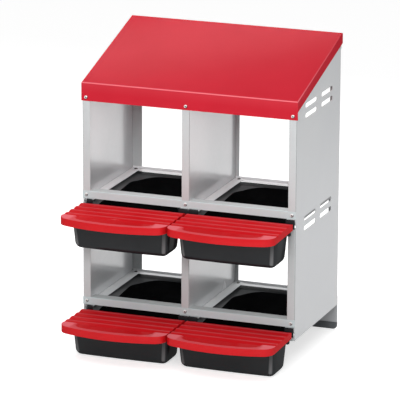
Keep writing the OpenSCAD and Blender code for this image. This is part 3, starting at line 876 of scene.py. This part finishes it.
@dataclass
class FloorFrame:
    """What carries the pans on one level: front rail, runners and rear ledges."""

    level: Level
    runner_w: float = 28.0
    runner_foot: float = 12.0
    runner_h: float = 14.2
    upstand: float = 6.0
    play: float = 0.2
    bend: float = 1.8

    def _rail(self) -> None:
        """Folds the front rail, with its top turned in between the flanges."""
        low, x, y = PLAN.rail(self.level), -PLAN.half_w, -PLAN.sheet
        top = low + PLAN.rail_h
        bm = bmesh.new()
        pull(bm, wire(bm, [(x, y, low), (x, y, top)]), (2 * PLAN.half_w, 0, 0))
        gaps = [PLAN.flange_gap(side) for side in Side]
        spans = [(left + self.play, right - self.play) for left, right in gaps]
        for x in (x for span in spans for x in span):
            slice_at(bm, (x, 0, 0), (1, 0, 0))
        crest = [e for e in bm.edges if all(abs(v.co.z - top) < NEAR for v in e.verts)
                 and any(a < (e.verts[0].co.x + e.verts[1].co.x) / 2 < b for a, b in spans)]
        pull(bm, crest, (0, PLAN.rail_return + PLAN.sheet, 0))
        face_out(bm, (0, 0, low), (0, -1, 0))
        soften(bm, folds(bm), self.bend)
        thicken(bm, PLAN.sheet)
        # The front faces get the bluer steel, tinted against the lids' red reflection.
        paint(bm, lambda f, c: c.y < self.bend)
        piece(bm, f"{self.level.value}_front_rail", "strip", SHADED_FRONT_STEEL, (REFLECTION_TINTED_RAIL_STEEL,), sheet=True)

    def _runner(self, wall: float, inward: float, node: str) -> None:
        """Folds one C section.

        Args:
            wall: The wall that carries it.
            inward: 1 or -1, away from that wall.
            node: The CAD node.
        """
        top = PLAN.rail(self.level) - PLAN.runner_drop
        low, y = top - self.runner_h, PLAN.sheet
        line = [(wall + inward * self.runner_w, y, top), (wall, y, top), (wall, y, low),
                (wall + inward * self.runner_foot, y, low)]
        length = PLAN.depth - 2 * PLAN.sheet - self.play - y
        middle = (wall + inward * self.runner_w / 2, y + length / 2, top)
        bm = folded(line, (0, length, 0), self.bend, (middle, (0, 0, 1)))
        # The web's face against the wall gets the dark steel: painted shade.
        paint(bm, lambda f, c: f.normal.x * inward < -FACING)
        piece(bm, node, "channel", SHEEN_RUNNER_STEEL, (SHADED_WEB_STEEL,), sheet=True)

    def _ledge(self, nest: Nest) -> None:
        """Folds the angle across the rear of one nest floor.

        Args:
            nest: The nest.
        """
        low, high = PLAN.walls(nest.side)
        low, high = low + PLAN.sheet + self.play, high - PLAN.sheet - self.play
        base = PLAN.rail(self.level) - PLAN.runner_drop - 2 * PLAN.sheet
        rear = PLAN.depth - PLAN.sheet
        top = base + PLAN.sheet + self.upstand
        line = [(low, rear - PLAN.ledge_d, base), (low, rear, base), (low, rear, top)]
        middle = ((low + high) / 2, rear - PLAN.ledge_d / 2, base)
        bm = folded(line, (high - low, 0, 0), self.bend, (middle, (0, 0, -1)))
        piece(bm, nest.name("rear_ledge"), "angle", SHEEN_RUNNER_STEEL, sheet=True)

    def build(self) -> None:
        """Builds the level's sheet pieces."""
        self._rail()
        for nest in (Nest(self.level, side) for side in Side):
            left, right = PLAN.walls(nest.side)
            places = ("outer", "inner") if nest.side is Side.LEFT else ("inner", "outer")
            for wall, inward, place in ((left, 1, places[0]), (right, -1, places[1])):
                self._runner(wall, inward, nest.name(f"{place}_runner"))
            self._ledge(nest)


@dataclass
class Screws:
    """Pan head screws with a cross recess, one piece for each group.

    Attributes:
        head: Outline of the head, in shares of its radius and height.
        shade_way: The way in plan to the side of the head that gets painted shade.
        shade_from: Shares of the radius, that way and outward, where the painted shade starts.
    """

    head_r: float = 4.9
    head_h: float = 2.2
    head: tuple[Pair, ...] = ((1.0, 0.0), (1.0, 0.4), (0.9, 0.75), (0.62, 1.0), (0.0, 1.0))
    shank_r: float = 2.0
    shank_l: float = 7.0
    recess_l: float = 2.4
    recess_w: float = 0.75
    recess_d: float = 0.9
    recess_slack: float = 0.1
    shade_way: Pair = (0.6, -0.8)
    shade_from: Pair = (0.2, 0.7)
    steps: int = 24
    fascia_drop: float = 42.0
    rear_rise: float = 13.0
    floor_in: float = 13.4

    def _crown(self, bm: BMesh) -> list[BMFace]:
        """The flat faces on top of a head."""
        return [f for f in bm.faces if f.calc_center_median().z > self.head_h - NEAR]

    def _in_cross(self, c: Vector) -> bool:
        """Says whether a point of the crown lies in the cross."""
        return min(abs(c.x), abs(c.y)) < self.recess_w and max(abs(c.x), abs(c.y)) < self.recess_l

    def _dark(self, f: BMFace, c: Vector) -> int:
        """Says whether a face gets painted shade: in the recess, and on the head's side away from the light.

        Args:
            f: The face; not used.
            c: Its middle.

        Returns:
            1 there and 0 elsewhere.
        """
        out, along = math.hypot(c.x, c.y), self.shade_way[0] * c.x + self.shade_way[1] * c.y
        recess = 0 < c.z < self.head_h - NEAR and out < self.recess_l + self.recess_slack
        shade = along > self.head_r * self.shade_from[0] and out > self.head_r * self.shade_from[1]
        return int(recess or shade)

    def _one(self, bm: BMesh, place: Matrix) -> None:
        """Adds one screw.

        Args:
            bm: The group's mesh.
            place: Seat of the head, with the head along local Z.
        """
        one = bmesh.new()
        line = [(0, 0, -self.shank_l), (self.shank_r, 0, -self.shank_l), (self.shank_r, 0, 0)]
        line += [(self.head_r * r, 0, self.head_h * h) for r, h in self.head]
        spin(one, wire(one, line), self.steps, full=True)
        bmesh.ops.recalc_face_normals(one, faces=one.faces)
        for axis in ((1, 0, 0), (0, 1, 0)):
            for reach in (-self.recess_l, -self.recess_w, self.recess_w, self.recess_l):
                slice_at(one, Vector(axis) * reach, axis, self._crown(one))
        cross = [f for f in self._crown(one) if self._in_cross(f.calc_center_median())]
        made = bmesh.ops.extrude_face_region(one, geom=cross)["geom"]
        bmesh.ops.translate(one, verts=verts_of(made), vec=(0, 0, -self.recess_d))
        bmesh.ops.delete(one, geom=cross, context="FACES")
        # The recess and one side of the head get painted shade.
        paint(one, self._dark)
        bmesh.ops.transform(one, matrix=place, verts=one.verts)
        add_mesh(bm, one)

    def _group(self, node: str, seats: Iterable[Point], turn_deg: float) -> None:
        """Makes one group of screws.

        Args:
            node: The CAD node.
            seats: Middles of the heads' seats.
            turn_deg: Turn about X from a head that looks up.
        """
        bm = bmesh.new()
        for seat in seats:
            self._one(bm, Matrix.Translation(seat) @ Matrix.Rotation(math.radians(turn_deg), 4, "X"))
        piece(bm, node, "set", ZINC, (SCREW_PAINTED_SHADE,))

    def build(self) -> None:
        """Makes all groups."""
        front = {"fascia_screws": PLAN.roof_front - self.fascia_drop}
        front |= {f"{level.value}_rail_screws": PLAN.rail(level) + PLAN.rail_h / 2 for level in Level}
        for node, z in front.items():
            self._group(node, [(x, -PLAN.sheet, z) for x in PLAN.front_screws()], turn_deg=90.0)
        rear = {"header_screws": PLAN.header_low, "foot_screws": PLAN.panel_base}
        for node, z in rear.items():
            seats = [(x, PLAN.depth + PLAN.sheet, z + self.rear_rise) for x in PLAN.rear_screws()]
            self._group(node, seats, turn_deg=-90.0)
        inset = PLAN.sheet + self.floor_in
        y = PLAN.depth - PLAN.sheet - PLAN.ledge_d / 2
        for level in Level:
            xs = [x + s * inset for side in Side for x, s in zip(PLAN.walls(side), (1, -1))]
            z = PLAN.rail(level) - PLAN.runner_drop
            self._group(f"{level.value}_floor_screws", [(x, y, z) for x in xs], turn_deg=0.0)


@dataclass
class Lid(Nest):
    """The ridged lid over an egg tray.

    Attributes:
        setback: From the pan's rim forward to the lid's rear edge.
        roll: Reach of the rounding between top and skirt.
        crest_power: How narrow the painted highlight on the ridges' crests is.
        pad_l: Length of the pads with painted highlights at the front corners.
        highlight_up: Upward shares of the normal that the painted highlight grows between.
    """

    half_front: float = 153.2
    half_rear: float = 150.0
    setback: float = 13.0
    length: float = 172.0
    bow: float = 28.0
    corner: float = 24.0
    top: float = 6.0
    ridge: float = 3.4
    ridge_pitch: float = 34.0
    ridge_count: int = 4
    ridge_rows: int = 10
    front_rows: int = 18
    columns: int = 40
    corner_columns: int = 7
    skirt: float = 20.0
    wall: float = 2.4
    rim: float = 17.0
    rim_deg: float = 50.0
    recess_half: float = 114.0
    recess_round: float = 24.0
    recess_soft: float = 4.0
    roll: float = 3.0
    crest_highlight: float = 0.3
    crest_power: int = 12
    rim_highlight: float = 0.45
    pad_highlight: float = 0.9
    pad_l: float = 52.0
    pad_soft: float = 8.0
    highlight_up: Pair = (0.4, 0.9)

    def _column(self, i: int) -> float:
        """Finds a column's place, closer together round the corners.

        Args:
            i: Column, from the left.

        Returns:
            A share of the half width.
        """
        flat = (self.half_front - self.corner) / self.half_front
        last = self.columns + 2 * self.corner_columns
        if self.corner_columns <= i <= last - self.corner_columns:
            return mix(-flat, flat, (i - self.corner_columns) / self.columns)
        from_end = min(i, last - i) / self.corner_columns
        share = flat + (1.0 - flat) * math.sin((1.0 - from_end) * math.pi / 2)
        return -share if i < last / 2 else share

    def _front(self, x: float) -> float:
        """Finds the bowed front edge with its round corners.

        Args:
            x: A place across the lid.

        Returns:
            The edge's depth there.
        """
        radius = (self.half_front ** 2 + self.bow ** 2) / (2 * self.bow)
        arc = -self.setback - self.length - self.bow + radius - math.sqrt(radius ** 2 - x ** 2)
        over = max(abs(x) - self.half_front + self.corner, 0.0)
        return arc + self.corner - math.sqrt(max(self.corner ** 2 - over ** 2, 0.0))

    def _dip(self, x: float, y: float) -> float:
        """How far a point lies in the recess behind the front rim.

        Args:
            x: Its place across the lid.
            y: Its depth.

        Returns:
            A share from 0 to 1.
        """
        ahead = y - self._front(x) - self.rim
        beside = self.recess_half - abs(x)
        inside = min(ahead, beside)
        if ahead < self.recess_round and beside < self.recess_round:
            inside = self.recess_round - math.hypot(self.recess_round - ahead, self.recess_round - beside)
        return ramp(inside, 0.0, self.recess_soft)

    def _crest(self, j: int) -> float:
        """Height of the ridges at a row, from 0 to 1."""
        return abs(math.sin(math.pi * j / self.ridge_rows))

    def _highlight(self, i: int, j: int) -> float:
        """How much painted highlight a point gets: crests a little, front rim and corner pads most.

        Args:
            i: Column, from the left.
            j: Row, from the rear.

        Returns:
            A share from 0 to 1.
        """
        if j <= self.ridge_count * self.ridge_rows:
            return self.crest_highlight * self._crest(j) ** self.crest_power
        x, y, _ = self._shape(i, j)
        half = self.pad_l / 2
        pad = (ramp(abs(x), self.recess_half, self.recess_half + self.pad_soft)
               * ramp(abs(y - self._front(x) - half), half, half - self.pad_soft))
        return (1.0 - self._dip(x, y)) * mix(self.rim_highlight, self.pad_highlight, pad)

    def _shape(self, i: int, j: int) -> Point:
        """Place of one point of the lid's upper face.

        Args:
            i: Column, from the left.
            j: Row, from the rear.

        Returns:
            The point.
        """
        share = self._column(i)
        ahead = j - self.ridge_count * self.ridge_rows
        if ahead <= 0:
            y = -self.setback - j * self.ridge_pitch / self.ridge_rows
        else:
            flat_y = -self.setback - self.ridge_count * self.ridge_pitch
            y = mix(flat_y, self._front(share * self.half_front), ahead / self.front_rows)
        x = share * mix(self.half_rear, self.half_front, min((-self.setback - y) / self.length, 1.0))
        if ahead <= 0:
            return x, y, self.top - self.ridge + self.ridge * self._crest(j)
        return x, y, self.top - self.ridge * self._dip(x, y)

    def build(self) -> None:
        """Moulds and places the lid."""
        nx = self.columns + 2 * self.corner_columns
        ny = self.ridge_count * self.ridge_rows + self.front_rows
        bm = bmesh.new()
        painted_highlight = bm.verts.layers.float.new("painted_highlight")
        bmesh.ops.create_grid(bm, x_segments=nx, y_segments=ny, size=1.0)
        for v in bm.verts:
            i, j = round((v.co.x + 1) / 2 * nx), round((1 - v.co.y) / 2 * ny)
            v[painted_highlight] = self._highlight(i, j)
            v.co = self._shape(i, j)
        edge = [e for e in bm.edges if e.is_boundary and any(v.co.y < -self.setback - NEAR for v in e.verts)]
        for v in {v for e in pull(bm, edge, (0, 0, -self.skirt)) for v in e.verts}:
            v.co.z = self.top - self.skirt
            v[painted_highlight] = 0.0
        face_out(bm, (0, -self.length / 2, self.top), (0, 0, 1))
        rim = [e for e in folds(bm, self.rim_deg) if all(v.co.z > 0 for v in e.verts)]
        soften(bm, [e for e in rim if any(abs(f.normal.z) < SQUARE for f in e.link_faces)], self.roll)
        thicken(bm, self.wall)
        bm.normal_update()
        # Painted highlight only on faces that look up, toward the lights.
        for v in bm.verts:
            v[painted_highlight] *= ramp(v.normal.z, *self.highlight_up)
        self.settle(bm, "lid", "cover", LID_RED)


@dataclass
class NestPan(Nest):
    """One moulding of bowl, chute and egg tray.

    Attributes:
        open_y: Depths that the chute's walls open out between, to the bowl's.
        floor_y: Depths that the chute's floor narrows between, to the bowl's.
        floor_fall: Fall of the bowl's floor for each millimetre to the front.
        chute_fall: The same for the chute.
        rings: Rings of the bowl: 0 to 1 on the floor, 1 to 2 on the wall, 2 to 3 on the rim.
        rows_behind: Depths of the rows from the bowl's middle to the rim's front edge.
        rows_ahead: Depths of the rows from there to the tray.
        brink: The ring where the darker floor, painted shade, ends.
        crease: Share of the wall that curves up from the floor.
        stop_out: Reach of the outer tab, in the left and the right column.
        highlight_turn: Degrees from the front at which the tray's corners get the most painted highlight.
        highlight_reach: Degrees from there to where they get none.
    """

    wall: float = 3.0
    tray_half: float = 143.6
    tray_front: float = 127.0
    tray_rear: float = 18.0
    tray_h: float = 98.0
    draft: float = 8.0
    bow: float = 4.0
    tray_round: float = 17.0
    tray_deg: float = 40.0
    tray_slices: int = 10
    chute_half: float = 129.6
    chute_floor: float = 67.0
    chute_wall_drop: float = 22.0
    chute_front: float = -24.5
    chute_inset: float = 5.0
    open_y: Pair = (6.0, 70.0)
    floor_y: Pair = (-24.5, 75.0)
    rim_half: float = 149.7
    rim_front: float = 2.4
    rim_rear: float = 367.6
    rim_round: float = 20.0
    bowl_half: float = 137.7
    bowl_rear: float = 335.6
    bowl_round: float = 17.0
    floor_r: float = 97.7
    floor_middle: float = 152.9
    floor_front: float = 33.0
    floor_front_drop: float = 47.0
    floor_fall: float = 0.13
    chute_fall: float = 17.0 / 57.5
    rings: Row = (0.0, 0.35, 0.7, 0.92, 1.0, 1.05, 1.1, 1.16, 1.3, 1.5, 1.75, 1.95, 2.0, 2.08, 3.0)
    rows_behind: Row = (130.0, 105.0, 85.0, 70.0, 60.0, 52.0, 45.0, 38.0, 33.0, 26.0, 19.0, 12.0, 6.0)
    rows_ahead: Row = (-3.0, -9.0, -15.0, -20.0)
    brink: float = 1.75
    brink_half: float = 122.0
    brink_rear: float = 334.0
    brink_round: Pair = (84.0, 74.0)
    brink_most: float = 0.97
    brink_steps: int = 20
    crease: float = 0.16
    turns: int = 48
    stop_y: float = -4.8
    stop_low: float = -14.0
    stop_top: float = 12.6
    stop_out: Pair = (143.5, 152.0)
    stop_in: float = 154.0
    stop_round: float = 0.6
    lug_y: float = -19.0
    lug_z: float = -6.0
    lug_low: float = -28.0
    lug_r: float = 6.0
    lug_round: float = 5.88
    lug_out: float = 145.0
    brim_highlight: float = 0.4
    corner_highlight: float = 0.9
    highlight_turn: float = 25.0
    highlight_reach: float = 18.0
    highlight_level: float = 0.4

    def _tray(self, bm: BMesh) -> None:
        """Moulds the egg tray, open at its top and towards the chute.

        Args:
            bm: An empty mesh.
        """
        painted_highlight = bm.verts.layers.float.new("painted_highlight")
        bmesh.ops.create_cube(bm, size=2.0)
        middle = -(self.tray_front + self.tray_rear) / 2
        half_l = (self.tray_front - self.tray_rear) / 2
        for v in bm.verts:
            lean, z = (self.draft, -self.tray_h) if v.co.z < 0 else (0.0, 0.0)
            v.co = Vector((v.co.x * (self.tray_half - lean), middle + v.co.y * (half_l - lean), z))
        for k in range(1, self.tray_slices):
            slice_at(bm, (mix(-self.tray_half, self.tray_half, k / self.tray_slices), 0, 0), (1, 0, 0))
        for v in bm.verts:
            if v.co.y < middle:
                v.co.y += self.bow * (v.co.x / self.tray_half) ** 2
        drop_faces(bm, lambda f, c: all(v.co.z > -NEAR for v in f.verts))
        soften(bm, folds(bm, self.tray_deg), self.tray_round, segments=6)
        half, low = self.chute_half, -self.chute_floor
        for point, axis in (((half, 0, 0), (1, 0, 0)), ((-half, 0, 0), (1, 0, 0)), ((0, 0, low), (0, 0, 1))):
            slice_at(bm, point, axis, [f for f in bm.faces if f.normal.y > FACING])
            bm.normal_update()
        drop_faces(bm, lambda f, c: f.normal.y > FACING and abs(c.x) < half and c.z > low)
        face_out(bm, (0, -self.tray_front, -self.tray_h / 2), (0, -1, 0))
        thicken(bm, self.wall)
        bm.normal_update()
        # Painted highlight down the tray's upright front corners.
        for v in bm.verts:
            turn = math.degrees(math.atan2(abs(v.normal.x), -v.normal.y))
            upright = abs(v.normal.z) < self.highlight_level
            v[painted_highlight] = self.corner_highlight * hump(turn, self.highlight_turn, self.highlight_reach) * upright

    def _floor_z(self, y: float) -> float:
        """Height of the bowl's and the chute's floor at a depth."""
        fall = self.floor_fall if y > self.floor_front else self.chute_fall
        return -self.floor_front_drop + (y - self.floor_front) * fall

    def _edge_point(self, angle: float, half: float, rear: float, corner: float) -> Pair:
        """Where a ray from the bowl's middle meets a rectangle with round rear corners.

        Args:
            angle: The ray's angle from +X.
            half: Half width of the rectangle.
            rear: Its rear edge.
            corner: Its corner radius.

        Returns:
            The point in plan.
        """
        ux, uy = math.cos(angle), math.sin(angle)
        span = rear - self.floor_middle
        reach = min(half / max(abs(ux), CUT), span / max(uy, CUT))
        cx, cy = half - corner, span - corner
        if abs(ux * reach) > cx and uy * reach > cy:
            b = abs(ux) * cx + uy * cy
            c = cx * cx + cy * cy - corner * corner
            reach = b + math.sqrt(max(b * b - c, 0.0))
        return ux * reach, uy * reach + self.floor_middle

    def _ray(self, angle: float) -> list[Pair]:
        """Marks a ray from the bowl's middle, in plan.

        Args:
            angle: Its angle from +X.

        Returns:
            Its start, the floor's edge, the brim and the rim.
        """
        floor = (self.floor_r * math.cos(angle), self.floor_middle + self.floor_r * math.sin(angle))
        brim = self._edge_point(angle, self.bowl_half, self.bowl_rear, self.bowl_round)
        rim = self._edge_point(angle, self.rim_half, self.rim_rear, self.rim_round)
        return [(0.0, self.floor_middle), floor, brim, rim]

    def _row(self, way: float, y: float) -> tuple[list[Pair], float]:
        """Marks a row of the bowl's straight sides or of the chute, in plan.

        Args:
            way: 1 to the right, -1 to the left.
            y: Its depth.

        Returns:
            Marks as on a ray, and the height of the brim.
        """
        inner = self.chute_half - self.wall
        floor = mix(inner - self.chute_inset, self.floor_r, ramp(y, *self.floor_y))
        brim = mix(inner, self.bowl_half, ramp(y, *self.open_y))
        top = mix(-self.chute_wall_drop, 0.0, ramp(y, self.chute_front, self.rim_front))
        return [(way * x, y) for x in (0.0, floor, brim, self.rim_half)], top

    def _lift(self, share: float) -> float:
        """Rise of the wall at a share of the way out, with a soft crease at the floor."""
        rise = share * share / (2 * self.crease) if share < self.crease else share - self.crease / 2
        return rise / (1.0 - self.crease / 2)

    def _brink_share(self, angle: float) -> float:
        """How far up the wall the darker floor of painted shade ends: on a U with a round rear end.

        Args:
            angle: The ray's angle from +X.

        Returns:
            A share from floor to rim.
        """
        floor, brim = self._ray(angle)[1:3]
        low, high = 0.0, 1.0
        for _ in range(self.brink_steps):
            share = (low + high) / 2
            x, y = (mix(a, b, share) for a, b in zip(floor, brim))
            over_x = 1.0 + (abs(x) - self.brink_half) / self.brink_round[0]
            over_y = 1.0 + (y - self.brink_rear) / self.brink_round[1]
            if math.hypot(max(over_x, 0.0), max(over_y, 0.0)) < 1.0:
                low = share
            else:
                high = share
        return low

    def _to_brink(self, radius: float, angle: float) -> float:
        """Moves the ring that ends the darker floor of painted shade onto its U.

        Args:
            radius: A ring.
            angle: Its angle from +X.

        Returns:
            The moved ring.
        """
        if not 1.0 < radius < 2.0:
            return radius
        out = 1.0 + min(self._brink_share(angle), self.brink_most)
        if radius <= self.brink:
            return mix(1.0, out, (radius - 1.0) / (self.brink - 1.0))
        return mix(out, 2.0, (radius - self.brink) / (2.0 - self.brink))

    def _point(self, ring: float, marks: Sequence[Pair], top: float = 0.0) -> Point:
        """Place of a point of the bowl or of the chute.

        Args:
            ring: Its ring.
            marks: The marks of its ray or row.
            top: Height of the brim there.

        Returns:
            The point.
        """
        part = min(max(math.ceil(ring), 1), 3)
        share = ring - part + 1
        x, y = (mix(a, b, share) for a, b in zip(*marks[part - 1:part + 1]))
        if part == 1:
            return x, y, self._floor_z(y)
        return x, y, mix(self._floor_z(marks[1][1]), top, self._lift(share)) if part == 2 else top

    def _bowl(self, bm: BMesh) -> None:
        """Moulds the bowl and the chute: a half turn behind, drawn out to the front.

        Args:
            bm: An empty mesh.
        """
        painted_highlight = bm.verts.layers.float.new("painted_highlight")
        spin(bm, wire(bm, [(r, 0, 0) for r in self.rings]), self.turns, full=False)
        front = [e for e in bm.edges if all(abs(v.co.y) < MERGE for v in e.verts)]
        rows = (self.floor_middle, *self.rows_behind, self.rim_front, *self.rows_ahead, self.chute_front)
        for _ in rows[1:]:
            front = pull(bm, front, (0, -1, 0))
        # Faces inside the brink get the darker floor: painted shade.
        paint(bm, lambda f, c: (math.hypot(c.x, c.y) if c.y > 0 else abs(c.x)) < self.brink)
        for v in bm.verts:
            radius = math.hypot(v.co.x, max(v.co.y, 0.0))
            # Painted highlight: a paler band on the brim outside the dark floor, most at the sides.
            v[painted_highlight] = self.brim_highlight * abs(v.co.x) / radius if radius > self.brink - NEAR else 0.0
            if v.co.y > MERGE:
                angle = math.atan2(v.co.y, v.co.x)
                v.co = self._point(self._to_brink(radius, angle), self._ray(angle))
            else:
                row = self._row(math.copysign(1.0, v.co.x), rows[round(-v.co.y)])
                v.co = self._point(abs(v.co.x), *row)
        bm.normal_update()
        drop_faces(bm, lambda f, c: c.y < self.rim_front and abs(c.x) > self.chute_half - self.wall)
        face_out(bm, (0, self.floor_middle, self._floor_z(self.floor_middle)), (0, 0, 1))
        thicken(bm, self.wall)

    def _stops(self, bm: BMesh) -> None:
        """Adds the two tabs that close the runners' mouths.

        Args:
            bm: An empty mesh.
        """
        y, low, top = self.stop_y, self.stop_low, self.stop_top
        for way in (-1.0, 1.0):
            inner = (way > 0) == (self.side is Side.LEFT)
            x0 = way * (self.chute_half - self.wall)
            x1 = way * (self.stop_in if inner else self.stop_out[self.column()])
            one = plate([(x0, y, low), (x1, y, low), (x1, y, top), (x0, y, top)])
            push(one, (0, self.wall, 0))
            bmesh.ops.recalc_face_normals(one, faces=one.faces)
            soften(one, one.edges, self.stop_round, segments=2)
            add_mesh(bm, one)

    def _lugs(self, bm: BMesh) -> None:
        """Adds the two upright lugs that hold the hinge pins.

        Args:
            bm: An empty mesh.
        """
        low, top = self.lug_low, self.lug_z + self.lug_r
        front, rear = self.lug_y - self.lug_r, self.lug_y + self.lug_r
        for way in (-1.0, 1.0):
            x = way * (self.chute_half - self.wall)
            one = plate([(x, front, low), (x, rear, low), (x, rear, top), (x, front, top)], self.lug_round,
                        lambda v: v.co.z > self.lug_z)
            push(one, (way * self.lug_out - x, 0, 0))
            bmesh.ops.recalc_face_normals(one, faces=one.faces)
            add_mesh(bm, one)

    def build(self) -> None:
        """Moulds and places the pan."""
        whole = bmesh.new()
        whole.verts.layers.float.new("painted_highlight")
        for part in (self._tray, self._bowl, self._lugs, self._stops):
            one = bmesh.new()
            part(one)
            add_mesh(whole, one)
        self.settle(whole, "nest_pan", "drawer", PAN_BLACK, PAN_FLOOR_PAINTED_SHADE)


@dataclass(frozen=True)
class Camera:
    """The photograph's view."""

    place: Point = (3.277, -8.768, 2.986)
    yaw_deg: float = 20.47
    pitch_deg: float = 15.33
    roll_deg: float = 0.26
    lens: float = 318.4
    sensor: float = 36.0
    far: float = 100.0

    def build(self) -> None:
        """Makes the scene's camera."""
        data = bpy.data.cameras.new("view")
        data.lens = self.lens
        data.sensor_width = self.sensor
        data.clip_end = self.far
        camera = show("view", data)
        turns = ((self.yaw_deg, "Z"), (90.0 - self.pitch_deg, "X"), (self.roll_deg, "Z"))
        place = Matrix.Translation(self.place)
        for degrees, axis in turns:
            place = place @ Matrix.Rotation(math.radians(degrees), 4, axis)
        camera.matrix_world = place
        bpy.context.scene.camera = camera


@dataclass(frozen=True)
class Softbox:
    """One area light that looks at a point."""

    name: str
    place: Point
    target: Point
    size: Pair
    watts: float
    matt: bool = True
    gloss: bool = True

    def build(self) -> None:
        """Makes the light."""
        data = bpy.data.lights.new(self.name, "AREA")
        data.shape = "RECTANGLE"
        data.size, data.size_y = self.size
        data.energy = self.watts
        lamp = show(self.name, data)
        way = Vector(self.target) - Vector(self.place)
        lamp.visible_diffuse, lamp.visible_glossy = self.matt, self.gloss
        lamp.matrix_world = Matrix.Translation(self.place) @ way.to_track_quat("-Z", "Y").to_matrix().to_4x4()


@dataclass
class Studio:
    """A pale floor, soft lights and a white surround."""

    floor_size: float = 40.0
    floor_tone: Colour = (0.8, 0.8, 0.8, 1)
    floor_lift: float = 0.62
    dome: float = 0.42
    softboxes: tuple[Softbox, ...] = (
        Softbox("top_softbox", (-0.2, -1.4, 2.4), (0, -0.15, 0.35), (1.4, 1.0), 19.0),
        Softbox("front_softbox", (0.9, -3.0, 1.9), (0, -0.1, 0.4), (1.2, 1.0), 42.0),
        Softbox("side_softbox", (2.8, -1.5, 0.9), (0.2, 0.0, 0.4), (1.0, 1.0), 13.0),
        Softbox("rear_softbox", (-0.5, 1.25, 1.65), (0, 0.27, 0.84), (1.2, 0.35), 13.0, gloss=False),
        Softbox("rear_sheen", (-0.1, 0.56, 1.15), (0, 0.29, 0.86), (1.0, 0.15), 4.0, matt=False),
        Softbox("rear_fill", (0.3, 2.4, 1.5), (0, 0, 0.3), (2.0, 1.2), 20.0, gloss=False),
    )

    def _seen(self, tree: NodeTree) -> NodeSocket:
        """A value of 1 for what the camera, a gloss or glass looks at.

        Args:
            tree: The nodes of a material or the world.

        Returns:
            The value.
        """
        path = add_node(tree, "LightPath").outputs
        total = path["Is Camera Ray"]
        for name in ("Is Glossy Ray", "Is Transmission Ray"):
            total = add_node(tree, "Math", {0: total, 1: path[name]}, operation="MAXIMUM").outputs["Value"]
        return total

    def _world(self) -> None:
        """Lights the scene evenly and shows white behind it."""
        world = bpy.data.worlds.new("surround")
        bpy.context.scene.world = world
        tree = fresh_tree(world)
        light = add_node(tree, "Background", {"Color": WHITE, "Strength": self.dome}).outputs["Background"]
        white = add_node(tree, "Background", {"Color": WHITE}).outputs["Background"]
        both = add_node(tree, "MixShader", {"Fac": self._seen(tree), 1: light, 2: white})
        add_node(tree, "OutputWorld", {"Surface": both.outputs["Shader"]})

    def _floor(self) -> None:
        """Lays the floor, which shows white but for the shadow."""
        bm = bmesh.new()
        bmesh.ops.create_grid(bm, x_segments=1, y_segments=1, size=self.floor_size / 2)
        mesh = bpy.data.meshes.new("floor")
        bm.to_mesh(mesh)
        bm.free()
        floor = show("floor", mesh)
        material = bpy.data.materials.new("pale_floor")
        tree = fresh_tree(material)
        matt = add_node(tree, "BsdfDiffuse", {"Color": self.floor_tone})
        lift = add_node(tree, "Math", {0: self._seen(tree), 1: self.floor_lift}, operation="MULTIPLY")
        glow = add_node(tree, "Emission", {"Strength": lift.outputs["Value"]})
        total = add_node(tree, "AddShader", {0: matt.outputs["BSDF"], 1: glow.outputs["Emission"]})
        add_node(tree, "OutputMaterial", {"Surface": total.outputs["Shader"]})
        mesh.materials.append(material)

    def build(self) -> None:
        """Sets up floor, lights and surround."""
        bpy.context.scene.view_settings.view_transform = "Standard"
        self._world()
        self._floor()
        for box in self.softboxes:
            box.build()


def dress_pins() -> None:
    """Gives the hinge pins, which keep their CAD shape, their finish."""
    for node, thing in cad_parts.items():
        if node.endswith("hinge_pins"):
            thing.data.materials.clear()
            thing.data.materials.append(ZINC.make())
            LOG.info("%s: CAD shape kept", node)


def uprights() -> list[Upright]:
    """Draws the side panels and the divider in plan.

    Returns:
        The two side panels and the divider.
    """
    w, d = PLAN.half_w, PLAN.depth
    right = [(w - PLAN.post, 0.0), (w, 0.0), (w, d), (w - PLAN.rear_flange, d)]
    x, inner = PLAN.divider, d - PLAN.sheet
    middle = [(x - PLAN.divider_flange, 0.0), (x, 0.0), (x, inner), (x + PLAN.divider_rear, inner)]
    return [Upright("right_side_panel", right, vents=True),
            Upright("left_side_panel", [(-x, y) for x, y in right], vents=True),
            Upright("centre_divider", middle)]


def main() -> None:
    """Builds the scene piece by piece."""
    logging.basicConfig(level=logging.INFO, format="%(name)s %(message)s")
    Camera().build()
    Studio().build()
    for upright in uprights():
        upright.build()
    Roof().build()
    RearTie().build()
    for level in Level:
        FloorFrame(level).build()
        for side in Side:
            NestPan(level, side).build()
            Lid(level, side).build()
    Screws().build()
    dress_pins()


if __name__ == "__main__":
    main()
